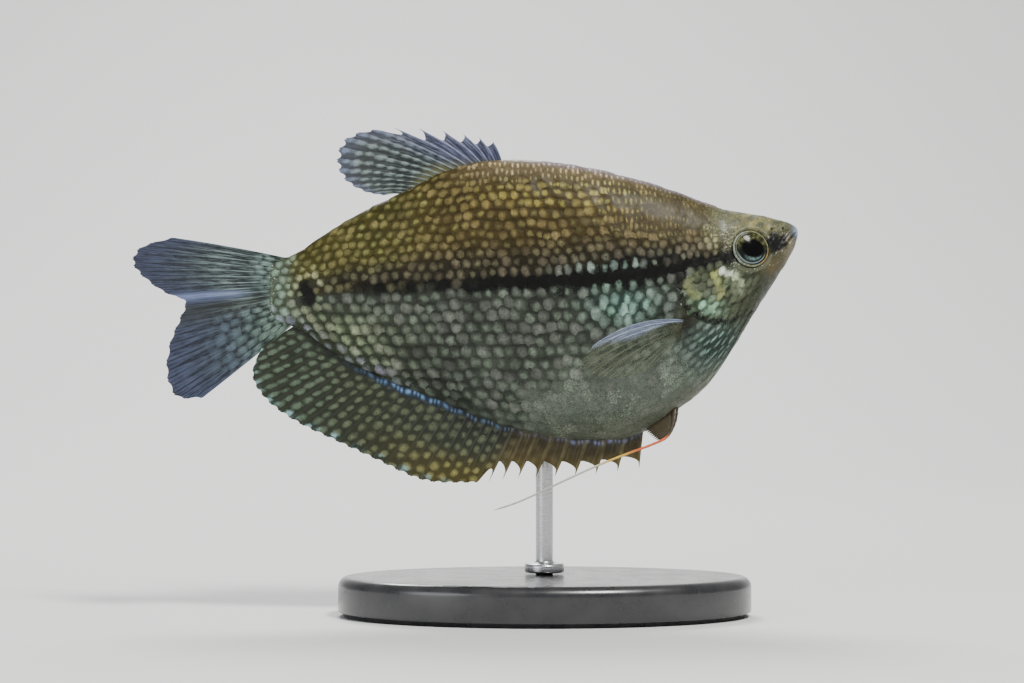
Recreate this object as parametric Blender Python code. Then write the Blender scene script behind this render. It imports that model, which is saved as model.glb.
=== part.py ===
# Pearl gourami, an adult female about 100 mm long, as a still life-size model on a display stand.
# The fish faces +X, its right side faces -Y, and +Z is up. The origin is the middle of the stand's underside.
import math

import bmesh
import bpy
import numpy as np
from mathutils import Matrix, Vector

MM = 0.001
GAP = 0.3 * MM

# Outline of the body in side view, tail to snout, as (x, z) in millimetres.
BACK = [
    (-38.2, 54.0), (-36.5, 55.0), (-33.7, 57.0), (-27.7, 60.6), (-21.7, 63.5), (-15.7, 66.5), (-12.0, 67.8),
    (-6.0, 68.6), (2.3, 68.1), (11.3, 66.3), (20.3, 63.6), (26.3, 61.2), (32.3, 60.1), (35.7, 59.4), (37.7, 58.2),
]
BELLY = [
    (-38.2, 43.6), (-36.7, 42.9), (-32.1, 39.6), (-25.9, 36.3), (-17.5, 32.9), (-7.0, 28.8), (0.5, 27.0),
    (6.8, 26.4), (12.3, 26.8), (15.0, 27.8), (18.5, 30.2), (24.8, 35.3), (28.1, 40.1), (31.5, 45.5),
    (35.6, 51.8), (37.1, 54.6), (37.7, 56.6),
]
# Half width of each cross-section and the level where it is widest, as (x, millimetres).
HALF_WIDTH = [
    (-38.2, 1.3), (-34.0, 2.2), (-26.0, 3.4), (-14.0, 5.2), (-2.0, 6.6), (8.0, 7.2), (16.0, 7.0), (22.0, 6.3),
    (28.0, 5.0), (31.0, 4.2), (34.5, 2.9), (36.6, 1.9), (37.7, 0.9),
]
WIDEST_LEVEL = [
    (-38.2, 48.8), (-26.0, 48.5), (-10.0, 48.0), (6.0, 46.0), (16.0, 46.0), (24.0, 48.5), (31.0, 52.5),
    (35.5, 55.6), (37.7, 57.4),
]
# How pointed a cross-section is above and below that level: 1 is an ellipse, more is a sharper ridge.
ROOF_POINT = [(-38.2, 1.0), (-10.0, 1.12), (10.0, 1.08), (24.0, 0.9), (34.0, 0.78), (37.7, 0.85)]
KEEL_POINT = [(-38.2, 1.0), (-20.0, 1.35), (0.0, 1.15), (12.0, 1.0), (26.0, 1.05), (32.0, 1.15), (37.7, 0.95)]
BODY_STATIONS = 38
BODY_SIDES = 28

# Where the body is parted, as (x, z) in millimetres: behind the gill cover, and at the tail stalk.
HEAD_EDGE = [(18.5, 72.0), (20.0, 62.0), (22.0, 54.0), (22.4, 49.6), (24.0, 46.7), (28.0, 45.6), (36.0, 44.6)]
STALK_EDGE = [(-25.5, 72.0), (-28.0, 56.0), (-28.6, 48.0), (-28.0, 40.0), (-26.5, 30.0)]

# Eyes: flat domes in round sockets, each turned a little forward and up.
EYE_X, EYE_Z = 30.6 * MM, 54.9 * MM
EYE_RADIUS = 2.6 * MM
EYE_DOME = 0.95 * MM
EYE_DEPTH = 1.5 * MM
EYE_SINK = 0.15 * MM
EYE_FORWARD = math.radians(14)
EYE_UP = math.radians(12)
ORBIT_RIM = 0.34 * MM

# Mouth: a steep cleft from its corner to the tip of the snout, between two lips.
MOUTH_CORNER = (35.45, 54.9)
MOUTH_TIP = (37.4, 57.45)
LIP_RADIUS = 0.42 * MM
LIP_STEP = 0.4 * MM
LIP_SINK = 0.15
CLEFT = 0.3 * MM
CLEFT_DEPTH = 0.5 * MM
NOSTRILS = [(33.9, 58.0, 0.36), (35.6, 58.15, 0.3)]

# Gill cover: an oval plate set into the side of the head.
GILL_X, GILL_Z = 25.0 * MM, 48.5 * MM
GILL_LENGTH, GILL_HEIGHT = 9.2 * MM, 7.4 * MM
GILL_TILT = math.radians(-18)
GILL_PROUD = 0.2 * MM
GILL_INNER = 4.1 * MM
GILL_LEAN = -0.2

# Median fins. Each row is where a ray starts and where it ends, in millimetres, front to back or top to bottom.
DORSAL_ROOTS = (-6.3, -21.4)
DORSAL_TIPS = [
    (-7.8, 71.3), (-11.8, 72.3), (-18.4, 73.2), (-25.3, 73.2), (-30.0, 71.8), (-31.4, 68.5), (-30.2, 65.5),
    (-27.2, 63.7), (-24.2, 63.1),
]
DORSAL_SPINES, DORSAL_RAYS = 6, 16
ANAL_TIPS = [
    (14.9, 14.2, 22.1), (8.0, 6.2, 21.1), (0.0, -3.2, 20.6), (-7.0, -11.8, 19.9), (-12.0, -18.3, 20.3),
    (-17.5, -25.8, 23.6), (-22.0, -32.0, 26.5), (-26.0, -37.5, 29.2), (-30.0, -42.0, 32.6), (-34.0, -43.9, 36.2),
    (-37.0, -41.6, 39.4),
]
ANAL_SPINES, ANAL_RAYS = 13, 38
TAIL_ROOTS = (53.4, 44.2)
TAIL_TIPS = [
    (-55.9, 56.8), (-60.6, 55.4), (-62.0, 53.2), (-60.6, 51.0), (-57.4, 48.6), (-54.4, 47.3), (-55.0, 44.6),
    (-56.4, 41.0), (-56.8, 36.4), (-55.2, 32.9), (-51.3, 32.7),
]
TAIL_RAYS = 16
TAIL_ROOT_HALF = 0.95 * MM
TAIL_WAVE = 1.3 * MM

# Side fins: the pectoral fan, and the long feeler that stands in for the pelvic fin.
PECTORAL_ROOT_TOP = (20.7, 44.4)
PECTORAL_ROOT_LOW = (20.0, 41.9)
PECTORAL_TIPS = [
    (6.9, 40.6), (5.3, 38.4), (5.9, 36.6), (8.6, 35.6), (11.8, 35.9), (14.6, 36.8), (16.9, 38.3),
]
PECTORAL_RAYS = 10
PECTORAL_SPREAD = math.radians(8)
PECTORAL_ROOT_HALF = 0.75 * MM
FEELER_RIGHT = [
    (19.5, -1.1, 31.4), (18.9, -2.3, 28.4), (17.9, -3.2, 26.3), (15.9, -3.8, 25.2), (12.9, -4.3, 24.1),
    (9.8, -4.7, 23.3), (6.9, -5.1, 22.3), (2.7, -5.4, 20.5), (-3.5, -5.4, 17.6), (-7.8, -5.0, 16.1),
]
FEELER_LEFT = [
    (19.5, 1.1, 31.4), (18.2, 3.2, 29.6), (15.5, 5.3, 28.6), (11.5, 7.0, 28.1), (7.5, 7.9, 27.6),
    (3.0, 8.3, 26.8), (-2.5, 8.3, 25.7), (-8.0, 7.8, 24.8), (-11.5, 7.2, 24.6),
]
FEELER_ROOT, FEELER_TIP = 0.5 * MM, 0.25 * MM
FEELER_SIDES, FEELER_STEPS = 8, 26
SHORT_RAY = 5.2 * MM

# Fins are membranes with a ridge along each ray.
MEMBRANE = 0.27 * MM
RAY = 0.45 * MM
SPINE = 0.42 * MM
RAY_FOOT = 0.24
SPINE_NOTCH = 0.24
RAY_NOTCH = 0.03
FIN_SINK = 1.4 * MM

# Stand: an oval base, and a rod that rises behind the anal fin into a socket under the left flank.
BASE_LENGTH, BASE_WIDTH, BASE_HEIGHT = 62.0 * MM, 40.0 * MM, 6.0 * MM
BASE_BEVEL = 1.4 * MM
BASE_SIDES = 48
ROD_Y = 3.5 * MM
ROD_RADIUS = 1.3 * MM
ROD_TOP = 34.5 * MM
ROD_SOCKET = 3.5 * MM
COLLAR_RADIUS, COLLAR_HEIGHT = 3.0 * MM, 1.4 * MM
ROD_SIDES = 24


# Curves through the named points
def smooth(points):
    """A smooth function through the points, the first number of each being where it stands."""
    xs = np.array([p[0] for p in points], float)
    ys = np.array([p[1:] for p in points], float)
    if xs[0] > xs[-1]:
        xs, ys = xs[::-1], ys[::-1]
    steps = np.diff(xs)[:, None]
    rises = np.diff(ys, axis=0) / steps
    inner = (rises[:-1] * steps[1:] + rises[1:] * steps[:-1]) / (steps[1:] + steps[:-1])
    slopes = np.vstack([rises[:1], inner, rises[-1:]])

    def at(x):
        i = int(np.clip(np.searchsorted(xs, x) - 1, 0, len(xs) - 2))
        width = xs[i + 1] - xs[i]
        t = min(max((x - xs[i]) / width, 0.0), 1.0)
        near = (1 + 2 * t) * (1 - t) ** 2 * ys[i] + t * (1 - t) ** 2 * width * slopes[i]
        far = t * t * (3 - 2 * t) * ys[i + 1] + t * t * (t - 1) * width * slopes[i + 1]
        found = near + far
        return float(found[0]) if len(found) == 1 else found

    return at


def evenly(points):
    """The points as rows of (share of the way, coordinates...), ready for smooth()."""
    last = len(points) - 1
    return [(i / last, *p) for i, p in enumerate(points)]


back = smooth(BACK)
belly = smooth(BELLY)
half_width = smooth(HALF_WIDTH)
widest_level = smooth(WIDEST_LEVEL)
roof_point = smooth(ROOF_POINT)
keel_point = smooth(KEEL_POINT)


# The body's surface
def section_point(x, angle):
    """The point at this angle from the back on the section at x, on the +Y side, in millimetres."""
    level = widest_level(x)
    above = angle < math.pi / 2
    reach = back(x) - level if above else level - belly(x)
    sharp = roof_point(x) if above else keel_point(x)
    side = half_width(x) * max(math.sin(angle), 0.0) ** sharp
    return Vector((x, side, level + reach * math.cos(angle)))


def flank(x, z):
    """Half the body's width at (x, z), all in millimetres."""
    level = widest_level(x)
    reach = back(x) - level if z > level else level - belly(x)
    sharp = roof_point(x) if z > level else keel_point(x)
    share = min(abs(z - level) / reach, 1.0)
    return half_width(x) * (1 - share * share) ** (sharp / 2)


def body_mesh(grow=0.0):
    """The whole body as a closed mesh, with its surface moved out by grow."""
    tail, snout = BACK[0][0], BACK[-1][0]
    mesh = bmesh.new()
    rings = []
    for i in range(BODY_STATIONS):
        share = 0.5 - 0.5 * math.cos(math.pi * i / (BODY_STATIONS - 1))
        x = tail + (snout - tail) * share
        ring = []
        for k in range(BODY_SIDES):
            turn = 2 * math.pi * k / BODY_SIDES
            point = section_point(x, min(turn, 2 * math.pi - turn))
            side = 1 if turn < math.pi else -1
            ring.append(mesh.verts.new((point.x * MM, point.y * side * MM, point.z * MM)))
        rings.append(ring)
    for ring, following in zip(rings, rings[1:]):
        for k in range(BODY_SIDES):
            m = (k + 1) % BODY_SIDES
            mesh.faces.new((ring[k], ring[m], following[m], following[k]))
    mesh.faces.new(rings[0])
    mesh.faces.new(rings[-1][::-1])
    bmesh.ops.recalc_face_normals(mesh, faces=mesh.faces)
    bmesh.ops.triangulate(mesh, faces=mesh.faces)
    if grow:
        mesh.normal_update()
        moves = [v.normal * grow for v in mesh.verts]
        for v, move in zip(mesh.verts, moves):
            v.co += move
    return mesh


# Objects, materials and Booleans
def material(name, colour, roughness, metallic=0.0):
    made = bpy.data.materials.new(name)
    made.use_nodes = True
    shader = made.node_tree.nodes["Principled BSDF"]
    shader.inputs["Base Color"].default_value = (*colour, 1.0)
    shader.inputs["Roughness"].default_value = roughness
    shader.inputs["Metallic"].default_value = metallic
    return made


def add_object(name, mesh, finish=None):
    """A named object from a bmesh, which is freed."""
    bmesh.ops.triangulate(mesh, faces=mesh.faces)
    data = bpy.data.meshes.new(name)
    mesh.to_mesh(data)
    mesh.free()
    made = bpy.data.objects.new(name, data)
    bpy.context.scene.collection.objects.link(made)
    if finish:
        data.materials.append(finish)
    return made


def combine(target, others, operation):
    """Joins, cuts or intersects the target with the others, which are then removed."""
    group = bpy.data.collections.new("operands")
    for other in others:
        group.objects.link(other)
    change = target.modifiers.new("combine", "BOOLEAN")
    change.operation = operation
    change.solver = "EXACT"
    change.operand_type = "COLLECTION"
    change.collection = group
    bpy.context.view_layer.update()
    graph = bpy.context.evaluated_depsgraph_get()
    result = bpy.data.meshes.new_from_object(target.evaluated_get(graph))
    target.modifiers.clear()
    target.data = result
    for other in others:
        bpy.data.objects.remove(other)
    bpy.data.collections.remove(group)
    return target


def keep_largest(target):
    """Keeps only the largest closed surface of the object."""
    mesh = bmesh.new()
    mesh.from_mesh(target.data)
    mesh.faces.ensure_lookup_table()
    left = set(mesh.faces)
    shells = []
    while left:
        shell, edge = set(), [left.pop()]
        while edge:
            face = edge.pop()
            shell.add(face)
            for side in face.edges:
                for other in side.link_faces:
                    if other in left:
                        left.remove(other)
                        edge.append(other)
        shells.append(shell)
    shells.sort(key=lambda shell: sum(f.calc_area() for f in shell))
    for shell in shells[:-1]:
        bmesh.ops.delete(mesh, geom=list(shell), context="FACES")
    bmesh.ops.triangulate(mesh, faces=mesh.faces)
    mesh.to_mesh(target.data)
    mesh.free()
    return target


def shade(target, degrees):
    target.data.shade_smooth()
    target.data.set_sharp_from_angle(angle=math.radians(degrees))
    return target


# Plain solids
def prism(name, outline, start, end):
    """The outline in the XZ plane, in millimetres, extruded between y = start(x) and y = end(x), in metres."""
    mesh = bmesh.new()
    ends = [[mesh.verts.new((x * MM, y(x * MM), z * MM)) for x, z in outline] for y in (start, end)]
    count = len(outline)
    mesh.faces.new(ends[0])
    mesh.faces.new(ends[1][::-1])
    for k in range(count):
        m = (k + 1) % count
        mesh.faces.new((ends[0][k], ends[0][m], ends[1][m], ends[1][k]))
    bmesh.ops.recalc_face_normals(mesh, faces=mesh.faces)
    return add_object(name, mesh)


def side_of(name, edge, shift, far_x):
    """A block as wide as the body between an edge line, moved by shift along X, and x = far_x."""
    curve = smooth(evenly(edge))
    line = [tuple(curve(i / 20)) for i in range(21)]
    line = [(x + shift, z) for x, z in line]
    outline = [*line, (far_x, line[-1][1]), (far_x, line[0][1])]
    return prism(name, outline, lambda x: -20 * MM, lambda x: 20 * MM)


def oval(centre, length, height, tilt, count):
    """An ellipse in the XZ plane as an outline in millimetres, from sizes in metres."""
    points = []
    for k in range(count):
        a = 2 * math.pi * k / count
        u, v = math.cos(a) * length / 2, math.sin(a) * height / 2
        x = centre[0] + u * math.cos(tilt) - v * math.sin(tilt)
        z = centre[1] + u * math.sin(tilt) + v * math.cos(tilt)
        points.append((x / MM, z / MM))
    return points


def spun(name, profile, sides, place, finish=None):
    """A solid turned about Z from (radius, height) pairs that start and end on the axis, then moved by place."""
    mesh = bmesh.new()
    rings = []
    for radius, height in profile:
        if radius == 0:
            rings.append([mesh.verts.new((0, 0, height))])
            continue
        turns = [2 * math.pi * k / sides for k in range(sides)]
        rings.append([mesh.verts.new((radius * math.cos(a), radius * math.sin(a), height)) for a in turns])
    for low, high in zip(rings, rings[1:]):
        for k in range(sides):
            m = (k + 1) % sides
            if len(low) == 1:
                mesh.faces.new((low[0], high[k], high[m]))
            elif len(high) == 1:
                mesh.faces.new((low[k], low[m], high[0]))
            else:
                mesh.faces.new((low[k], low[m], high[m], high[k]))
    bmesh.ops.recalc_face_normals(mesh, faces=mesh.faces)
    mesh.transform(place)
    return add_object(name, mesh, finish)


def tube(name, path, radii, sides, finish=None, closed=False):
    """A round tube along the points of path, in metres, with a radius for each. closed joins its ends."""
    count = len(path)
    mesh = bmesh.new()
    rings = []
    side = None
    for i, point in enumerate(path):
        before = path[i - 1] if closed or i else path[0]
        after = path[(i + 1) % count] if closed or i < count - 1 else path[-1]
        along = (after - before).normalized()
        if side is None:
            side = along.orthogonal()
        side = (side - along * side.dot(along)).normalized()
        other = along.cross(side)
        turns = [2 * math.pi * k / sides for k in range(sides)]
        rings.append([mesh.verts.new(point + (side * math.cos(a) + other * math.sin(a)) * radii[i]) for a in turns])
    spans = list(zip(rings, rings[1:])) + ([(rings[-1], rings[0])] if closed else [])
    for low, high in spans:
        for k in range(sides):
            m = (k + 1) % sides
            mesh.faces.new((low[k], low[m], high[m], high[k]))
    if not closed:
        mesh.faces.new(rings[0][::-1])
        mesh.faces.new(rings[-1])
    bmesh.ops.recalc_face_normals(mesh, faces=mesh.faces)
    return add_object(name, mesh, finish)


# Head, gill covers, trunk and stalk
def eye_place(side):
    """The matrix that sets an eye, built along +Z with its rim at 0, on the right (-1) or left (+1) of the head."""
    surface = flank(EYE_X / MM, EYE_Z / MM) * MM
    looks = Vector((math.sin(EYE_FORWARD), side * math.cos(EYE_FORWARD) * math.cos(EYE_UP), math.sin(EYE_UP)))
    turn = looks.to_track_quat("Z", "X").to_matrix().to_4x4()
    return Matrix.Translation(Vector((EYE_X, side * (surface - EYE_SINK), EYE_Z))) @ turn


def eye_profile(gap=0.0, dome=True):
    """Half the outline of an eye, bottom to top: a cup, then a dome or, for the socket's cutter, an open way out."""
    radius, depth = EYE_RADIUS + gap, EYE_DEPTH + gap
    cup = [(0.0, -depth), (0.45 * radius, -0.93 * depth), (0.8 * radius, -0.66 * depth), (radius, -0.12 * depth)]
    if not dome:
        return [*cup, (radius, 4 * EYE_DOME), (0.0, 4 * EYE_DOME)]
    steps = [(math.cos(a), math.sin(a)) for a in (0.12, 0.45, 0.85, 1.2)]
    return [*cup, *[(radius * c, EYE_DOME * s) for c, s in steps], (0.0, EYE_DOME)]


def orbit_rim(side):
    """The low ring of skin round an eye."""
    place = eye_place(side)
    ring = EYE_RADIUS + GAP + 0.35 * ORBIT_RIM
    turns = [2 * math.pi * k / 28 for k in range(28)]
    path = [place @ Vector((ring * math.cos(a), ring * math.sin(a), -0.2 * ORBIT_RIM)) for a in turns]
    return tube("rim", path, [ORBIT_RIM] * len(path), 6, closed=True)


def mouth_path(step):
    """The cleft's line round the snout from corner to corner, on the skin, moved across the cleft by step."""
    along = Vector((MOUTH_TIP[0] - MOUTH_CORNER[0], MOUTH_TIP[1] - MOUTH_CORNER[1])).normalized()
    across = Vector((-along.y, 0, along.x)) * step
    path = []
    for i in range(-8, 9):
        share = 1 - (abs(i) / 8) ** 1.6
        x = MOUTH_CORNER[0] + (MOUTH_TIP[0] - MOUTH_CORNER[0]) * share
        z = MOUTH_CORNER[1] + (MOUTH_TIP[1] - MOUTH_CORNER[1]) * share
        side = math.copysign(1, i) if i else 0.0
        y = side * max(flank(x, z) - LIP_SINK, 0.0) * math.sqrt(abs(i) / 8)
        path.append(Vector((x, y, z)) * MM + across)
    return path


def lip(step):
    path = mouth_path(step)
    last = len(path) - 1
    radii = [LIP_RADIUS * (0.3 + 0.7 * math.sin(math.pi * i / last) ** 0.5) for i in range(last + 1)]
    return tube("lip", path, radii, 8)


def cleft_cutter():
    """The slit between the lips, as a thin slab that follows them from outside the lips to CLEFT_DEPTH within."""
    middle = mouth_path(0.0)
    along = Vector((MOUTH_TIP[0] - MOUTH_CORNER[0], 0, MOUTH_TIP[1] - MOUTH_CORNER[1])).normalized()
    across = Vector((-along.z, 0, along.x)) * CLEFT / 2
    centre = Vector((MOUTH_CORNER[0] * MM, 0, MOUTH_CORNER[1] * MM))
    mesh = bmesh.new()
    rows = []
    for point in middle:
        out = (point - centre).normalized()
        inner = point - out * CLEFT_DEPTH
        outer = point + out * 3 * LIP_RADIUS
        rows.append([mesh.verts.new(p) for p in (inner - across, outer - across, outer + across, inner + across)])
    for low, high in zip(rows, rows[1:]):
        for k in range(4):
            m = (k + 1) % 4
            mesh.faces.new((low[k], low[m], high[m], high[k]))
    mesh.faces.new(rows[0][::-1])
    mesh.faces.new(rows[-1])
    bmesh.ops.recalc_face_normals(mesh, faces=mesh.faces)
    return add_object("cleft", mesh)


def nostril_cutters():
    """Small round pits, two on each side of the snout."""
    cutters = []
    for x, z, radius in NOSTRILS:
        for side in (-1, 1):
            y = side * flank(x, z)
            out = Vector((0, side * 1.0, 0.55)).normalized()
            turn = out.to_track_quat("Z", "X").to_matrix().to_4x4()
            place = Matrix.Translation(Vector((x, y, z)) * MM) @ turn
            r = radius * MM
            cutters.append(spun("nostril", [(0, -1.4 * r), (0.7 * r, -r), (r, 2 * r), (0, 2 * r)], 8, place))
    return cutters


def gill_block(side, gap):
    """An oval block from the gill cover's inner face, which leans with the flank, out past the body."""
    outline = oval((GILL_X, GILL_Z), GILL_LENGTH + 2 * gap, GILL_HEIGHT + 2 * gap, GILL_TILT, 28)
    inner = lambda x: side * (GILL_INNER - gap + GILL_LEAN * (x - GILL_X))
    return prism("gill_block", outline, inner, lambda x: side * 12 * MM)


def gill_cover(name, side, finish):
    plate = add_object(name, body_mesh(grow=GILL_PROUD), finish)
    combine(plate, [gill_block(side, 0.0)], "INTERSECT")
    return shade(keep_largest(plate), 40)


def head(finish):
    made = add_object("head", body_mesh(), finish)
    combine(made, [side_of("region", HEAD_EDGE, GAP / MM / 2, 60.0)], "INTERSECT")
    combine(made, [lip(LIP_STEP), lip(-LIP_STEP), orbit_rim(-1), orbit_rim(1)], "UNION")
    sockets = [spun("socket", eye_profile(GAP, dome=False), 28, eye_place(side)) for side in (-1, 1)]
    pockets = [gill_block(side, GAP) for side in (-1, 1)]
    combine(made, [cleft_cutter(), *sockets, *nostril_cutters(), *pockets], "DIFFERENCE")
    return shade(keep_largest(made), 35)


def trunk(finish):
    made = add_object("trunk", body_mesh(), finish)
    front = side_of("front", HEAD_EDGE, -GAP / MM / 2, 60.0)
    rear = side_of("rear", STALK_EDGE, GAP / MM / 2, -60.0)
    pockets = [gill_block(side, GAP) for side in (-1, 1)]
    combine(made, [front, rear, rod_socket(), *pockets], "DIFFERENCE")
    return shade(keep_largest(made), 35)


def stalk(finish):
    made = add_object("tail_stalk", body_mesh(), finish)
    combine(made, [side_of("region", STALK_EDGE, -GAP / MM / 2, -60.0)], "INTERSECT")
    return shade(keep_largest(made), 35)


def eye(name, side, finish):
    return shade(spun(name, eye_profile(), 28, eye_place(side), finish), 60)


# Fins
def fin_columns(rays, spines):
    """(share of the way along the fin, ray's height 0 to 1, reach 0 to 1) for each line of the fin's grid: a ray's
    crest with a foot on each side of it. Between two feet lies flat membrane."""
    foot = RAY_FOOT / (rays - 1)
    columns = []
    for i in range(rays):
        share = i / (rays - 1)
        blend = min(max((i - spines + 1.5) / 3, 0.0), 1.0)
        notch = SPINE_NOTCH + (RAY_NOTCH - SPINE_NOTCH) * blend if i < spines + 2 else RAY_NOTCH
        if i:
            columns.append((share - foot, 0.0, 1 - notch))
        columns.append((share, 1.0, 1.0))
        if i < rays - 1:
            columns.append((share + foot, 0.0, 1 - notch))
    return columns


def fin_solid(name, ray_at, rays, spines, rows, finish, root_half=None):
    """A membrane with ridges. ray_at(share, way) gives the fin's middle surface. Both faces are cut into triangles
    alike. root_half thickens the root, as where muscle wraps the rays."""
    columns = fin_columns(rays, spines)
    points, halves = [], []
    for share, height, reach in columns:
        line, thick = [], []
        for r in range(rows + 1):
            way = r / rows * min(column[2] for column in near(columns, share))
            way = reach if r == rows else way
            line.append(Vector(ray_at(share, way)))
            ridge = (RAY if share * (rays - 1) > spines else SPINE) - MEMBRANE
            half = MEMBRANE + height * ridge * (1 - 0.55 * way)
            if root_half:
                flesh = max(1 - way / 0.25, 0.0) ** 1.5
                half += (root_half - half) * flesh
            if r == rows and reach == 1.0:
                half = MEMBRANE * 0.75
            thick.append(half)
        points.append(line)
        halves.append(thick)
    last, end = len(points) - 1, rows
    mesh = bmesh.new()
    faces = []
    for c, line in enumerate(points):
        for r, point in enumerate(line):
            along = line[min(r + 1, end)] - line[max(r - 1, 0)]
            across = points[min(c + 3, last)][r] - points[max(c - 3, 0)][r]
            out = across.cross(along).normalized() * halves[c][r]
            faces.append((mesh.verts.new(point + out), mesh.verts.new(point - out)))

    def index(c, r):
        return faces[c * (rows + 1) + r]

    for c in range(last):
        for r in range(end):
            corners = [index(c, r), index(c, r + 1), index(c + 1, r + 1), index(c + 1, r)]
            for a, b, d in ((0, 1, 2), (0, 2, 3)):
                mesh.faces.new((corners[a][0], corners[b][0], corners[d][0]))
                mesh.faces.new((corners[d][1], corners[b][1], corners[a][1]))
    rim = [(c, 0) for c in range(last)] + [(last, r) for r in range(end)]
    rim += [(c, end) for c in range(last, 0, -1)] + [(0, r) for r in range(end, 0, -1)]
    for k, here in enumerate(rim):
        a, b = index(*here), index(*rim[(k + 1) % len(rim)])
        mesh.faces.new((a[0], a[1], b[1], b[0]))
    bmesh.ops.recalc_face_normals(mesh, faces=mesh.faces)
    return add_object(name, mesh, finish)


def near(columns, share):
    """The columns within a foot of this one, whose shortest reach sets the rows of them all."""
    return [c for c in columns if abs(c[0] - share) < 1.01 * RAY_FOOT / (len(columns) / 3)]


def bezier(start, turn, end, way):
    return start * (1 - way) ** 2 + turn * 2 * way * (1 - way) + end * way * way


def seat(made):
    """Cuts a fin clear of the body it grows from, leaving the gap."""
    combine(made, [add_object("clearance", body_mesh(grow=GAP))], "DIFFERENCE")
    return shade(keep_largest(made), 50)


def dorsal_fin(finish):
    tips = smooth(evenly(DORSAL_TIPS))

    def ray_at(share, way):
        x = DORSAL_ROOTS[0] + (DORSAL_ROOTS[1] - DORSAL_ROOTS[0]) * share
        root = np.array([x, back(x) - FIN_SINK / MM])
        tip = tips(share)
        turn = (root + tip) / 2 + np.array([0.9, 0.7]) * (0.4 + share)
        px, pz = bezier(root, turn, tip, way)
        sway = 0.55 * way * way * math.sin(3.4 * share + 0.4)
        return Vector((px, sway, pz)) * MM

    return seat(fin_solid("dorsal_fin", ray_at, DORSAL_RAYS, DORSAL_SPINES, 6, finish))


def anal_fin(finish):
    tips = smooth(ANAL_TIPS)
    front, rear = ANAL_TIPS[0][0], ANAL_TIPS[-1][0]

    def ray_at(share, way):
        x = front + (rear - front) * share
        root = np.array([x, belly(x) + FIN_SINK / MM])
        tip = tips(x)
        turn = (root + tip) / 2 + np.array([-0.5, -0.4]) * share
        px, pz = bezier(root, turn, tip, way)
        sway = 0.7 * way * way * math.sin(5.2 * share + 0.3)
        return Vector((px, sway, pz)) * MM

    return seat(fin_solid("anal_fin", ray_at, ANAL_RAYS, ANAL_SPINES, 4, finish))


def tail_fin(finish):
    tips = smooth(evenly(TAIL_TIPS))
    root_x = BACK[0][0]

    def ray_at(share, way):
        root = np.array([root_x + 1.0, TAIL_ROOTS[0] + (TAIL_ROOTS[1] - TAIL_ROOTS[0]) * share])
        tip = tips(share)
        fan = 1 - 2 * share
        turn = root + (tip - root) * 0.45 + np.array([-0.4, 0.5 * fan])
        px, pz = bezier(root, turn, tip, way)
        wave = TAIL_WAVE / MM * way * way * (math.cos(2 * math.pi * share) - 0.35 * fan)
        return Vector((px, -wave, pz)) * MM

    return seat(fin_solid("tail_fin", ray_at, TAIL_RAYS, 0, 7, finish, TAIL_ROOT_HALF))


def pectoral_fin(name, side, finish):
    """A fan whose fleshy root stands the gap off the flank. It follows the flank's shape and slants away from it."""
    tips = smooth(evenly(PECTORAL_TIPS))
    top, low = np.array(PECTORAL_ROOT_TOP), np.array(PECTORAL_ROOT_LOW)
    clear = (GAP + PECTORAL_ROOT_HALF) / MM + 0.05

    def ray_at(share, way):
        root = top + (low - top) * share
        tip = tips(share)
        turn = (root + tip) / 2 + np.array([0.3, 1.0 - 0.8 * share])
        px, pz = bezier(root, turn, tip, way)
        out = flank(px, pz) + clear + (top[0] - px) * math.tan(PECTORAL_SPREAD)
        return Vector((px, side * out, pz)) * MM

    return shade(fin_solid(name, ray_at, PECTORAL_RAYS, 0, 5, finish, PECTORAL_ROOT_HALF), 50)


def feeler(name, route, finish):
    """The thread-like pelvic fin, with two short rays beside its root."""
    curve = smooth(evenly(route))
    steps = [i / (FEELER_STEPS - 1) for i in range(FEELER_STEPS)]
    path = [Vector(curve(s)) * MM for s in steps]
    radii = [FEELER_ROOT + (FEELER_TIP - FEELER_ROOT) * s ** 0.7 for s in steps]
    made = tube(name, path, radii, FEELER_SIDES, finish)
    root, side = path[0], math.copysign(1, route[0][1])
    short = []
    for fan in (0.25, 0.6):
        away = Vector((-0.55 - fan, side * 0.28, -0.6 + 0.35 * fan)).normalized()
        ends = [root + away * SHORT_RAY * s * (1 - 0.25 * fan) for s in (0, 0.3, 0.6, 1)]
        short.append(tube("short", ends, [0.42 * MM, 0.36 * MM, 0.3 * MM, 0.16 * MM], 6))
    combine(made, short, "UNION")
    return seat(made)


# Stand
def stand_base(finish):
    mesh = bmesh.new()
    rings = []
    for inset, z in ((0.0, 0.0), (0.0, BASE_HEIGHT - BASE_BEVEL), (0.4 * BASE_BEVEL, BASE_HEIGHT - 0.3 * BASE_BEVEL),
                     (BASE_BEVEL, BASE_HEIGHT)):
        half_x, half_y = BASE_LENGTH / 2 - inset, BASE_WIDTH / 2 - inset
        turns = [2 * math.pi * k / BASE_SIDES for k in range(BASE_SIDES)]
        rings.append([mesh.verts.new((half_x * math.cos(a), half_y * math.sin(a), z)) for a in turns])
    for low, high in zip(rings, rings[1:]):
        for k in range(BASE_SIDES):
            m = (k + 1) % BASE_SIDES
            mesh.faces.new((low[k], low[m], high[m], high[k]))
    mesh.faces.new(rings[0][::-1])
    mesh.faces.new(rings[-1])
    bmesh.ops.recalc_face_normals(mesh, faces=mesh.faces)
    made = add_object("stand_base", mesh, finish)
    hole = [(0, BASE_HEIGHT - ROD_SOCKET), (ROD_RADIUS + GAP, BASE_HEIGHT - ROD_SOCKET)]
    hole += [(ROD_RADIUS + GAP, BASE_HEIGHT + GAP), (0, BASE_HEIGHT + GAP)]
    combine(made, [spun("hole", hole, ROD_SIDES, Matrix.Translation((0, ROD_Y, 0)))], "DIFFERENCE")
    return shade(made, 35)


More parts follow.
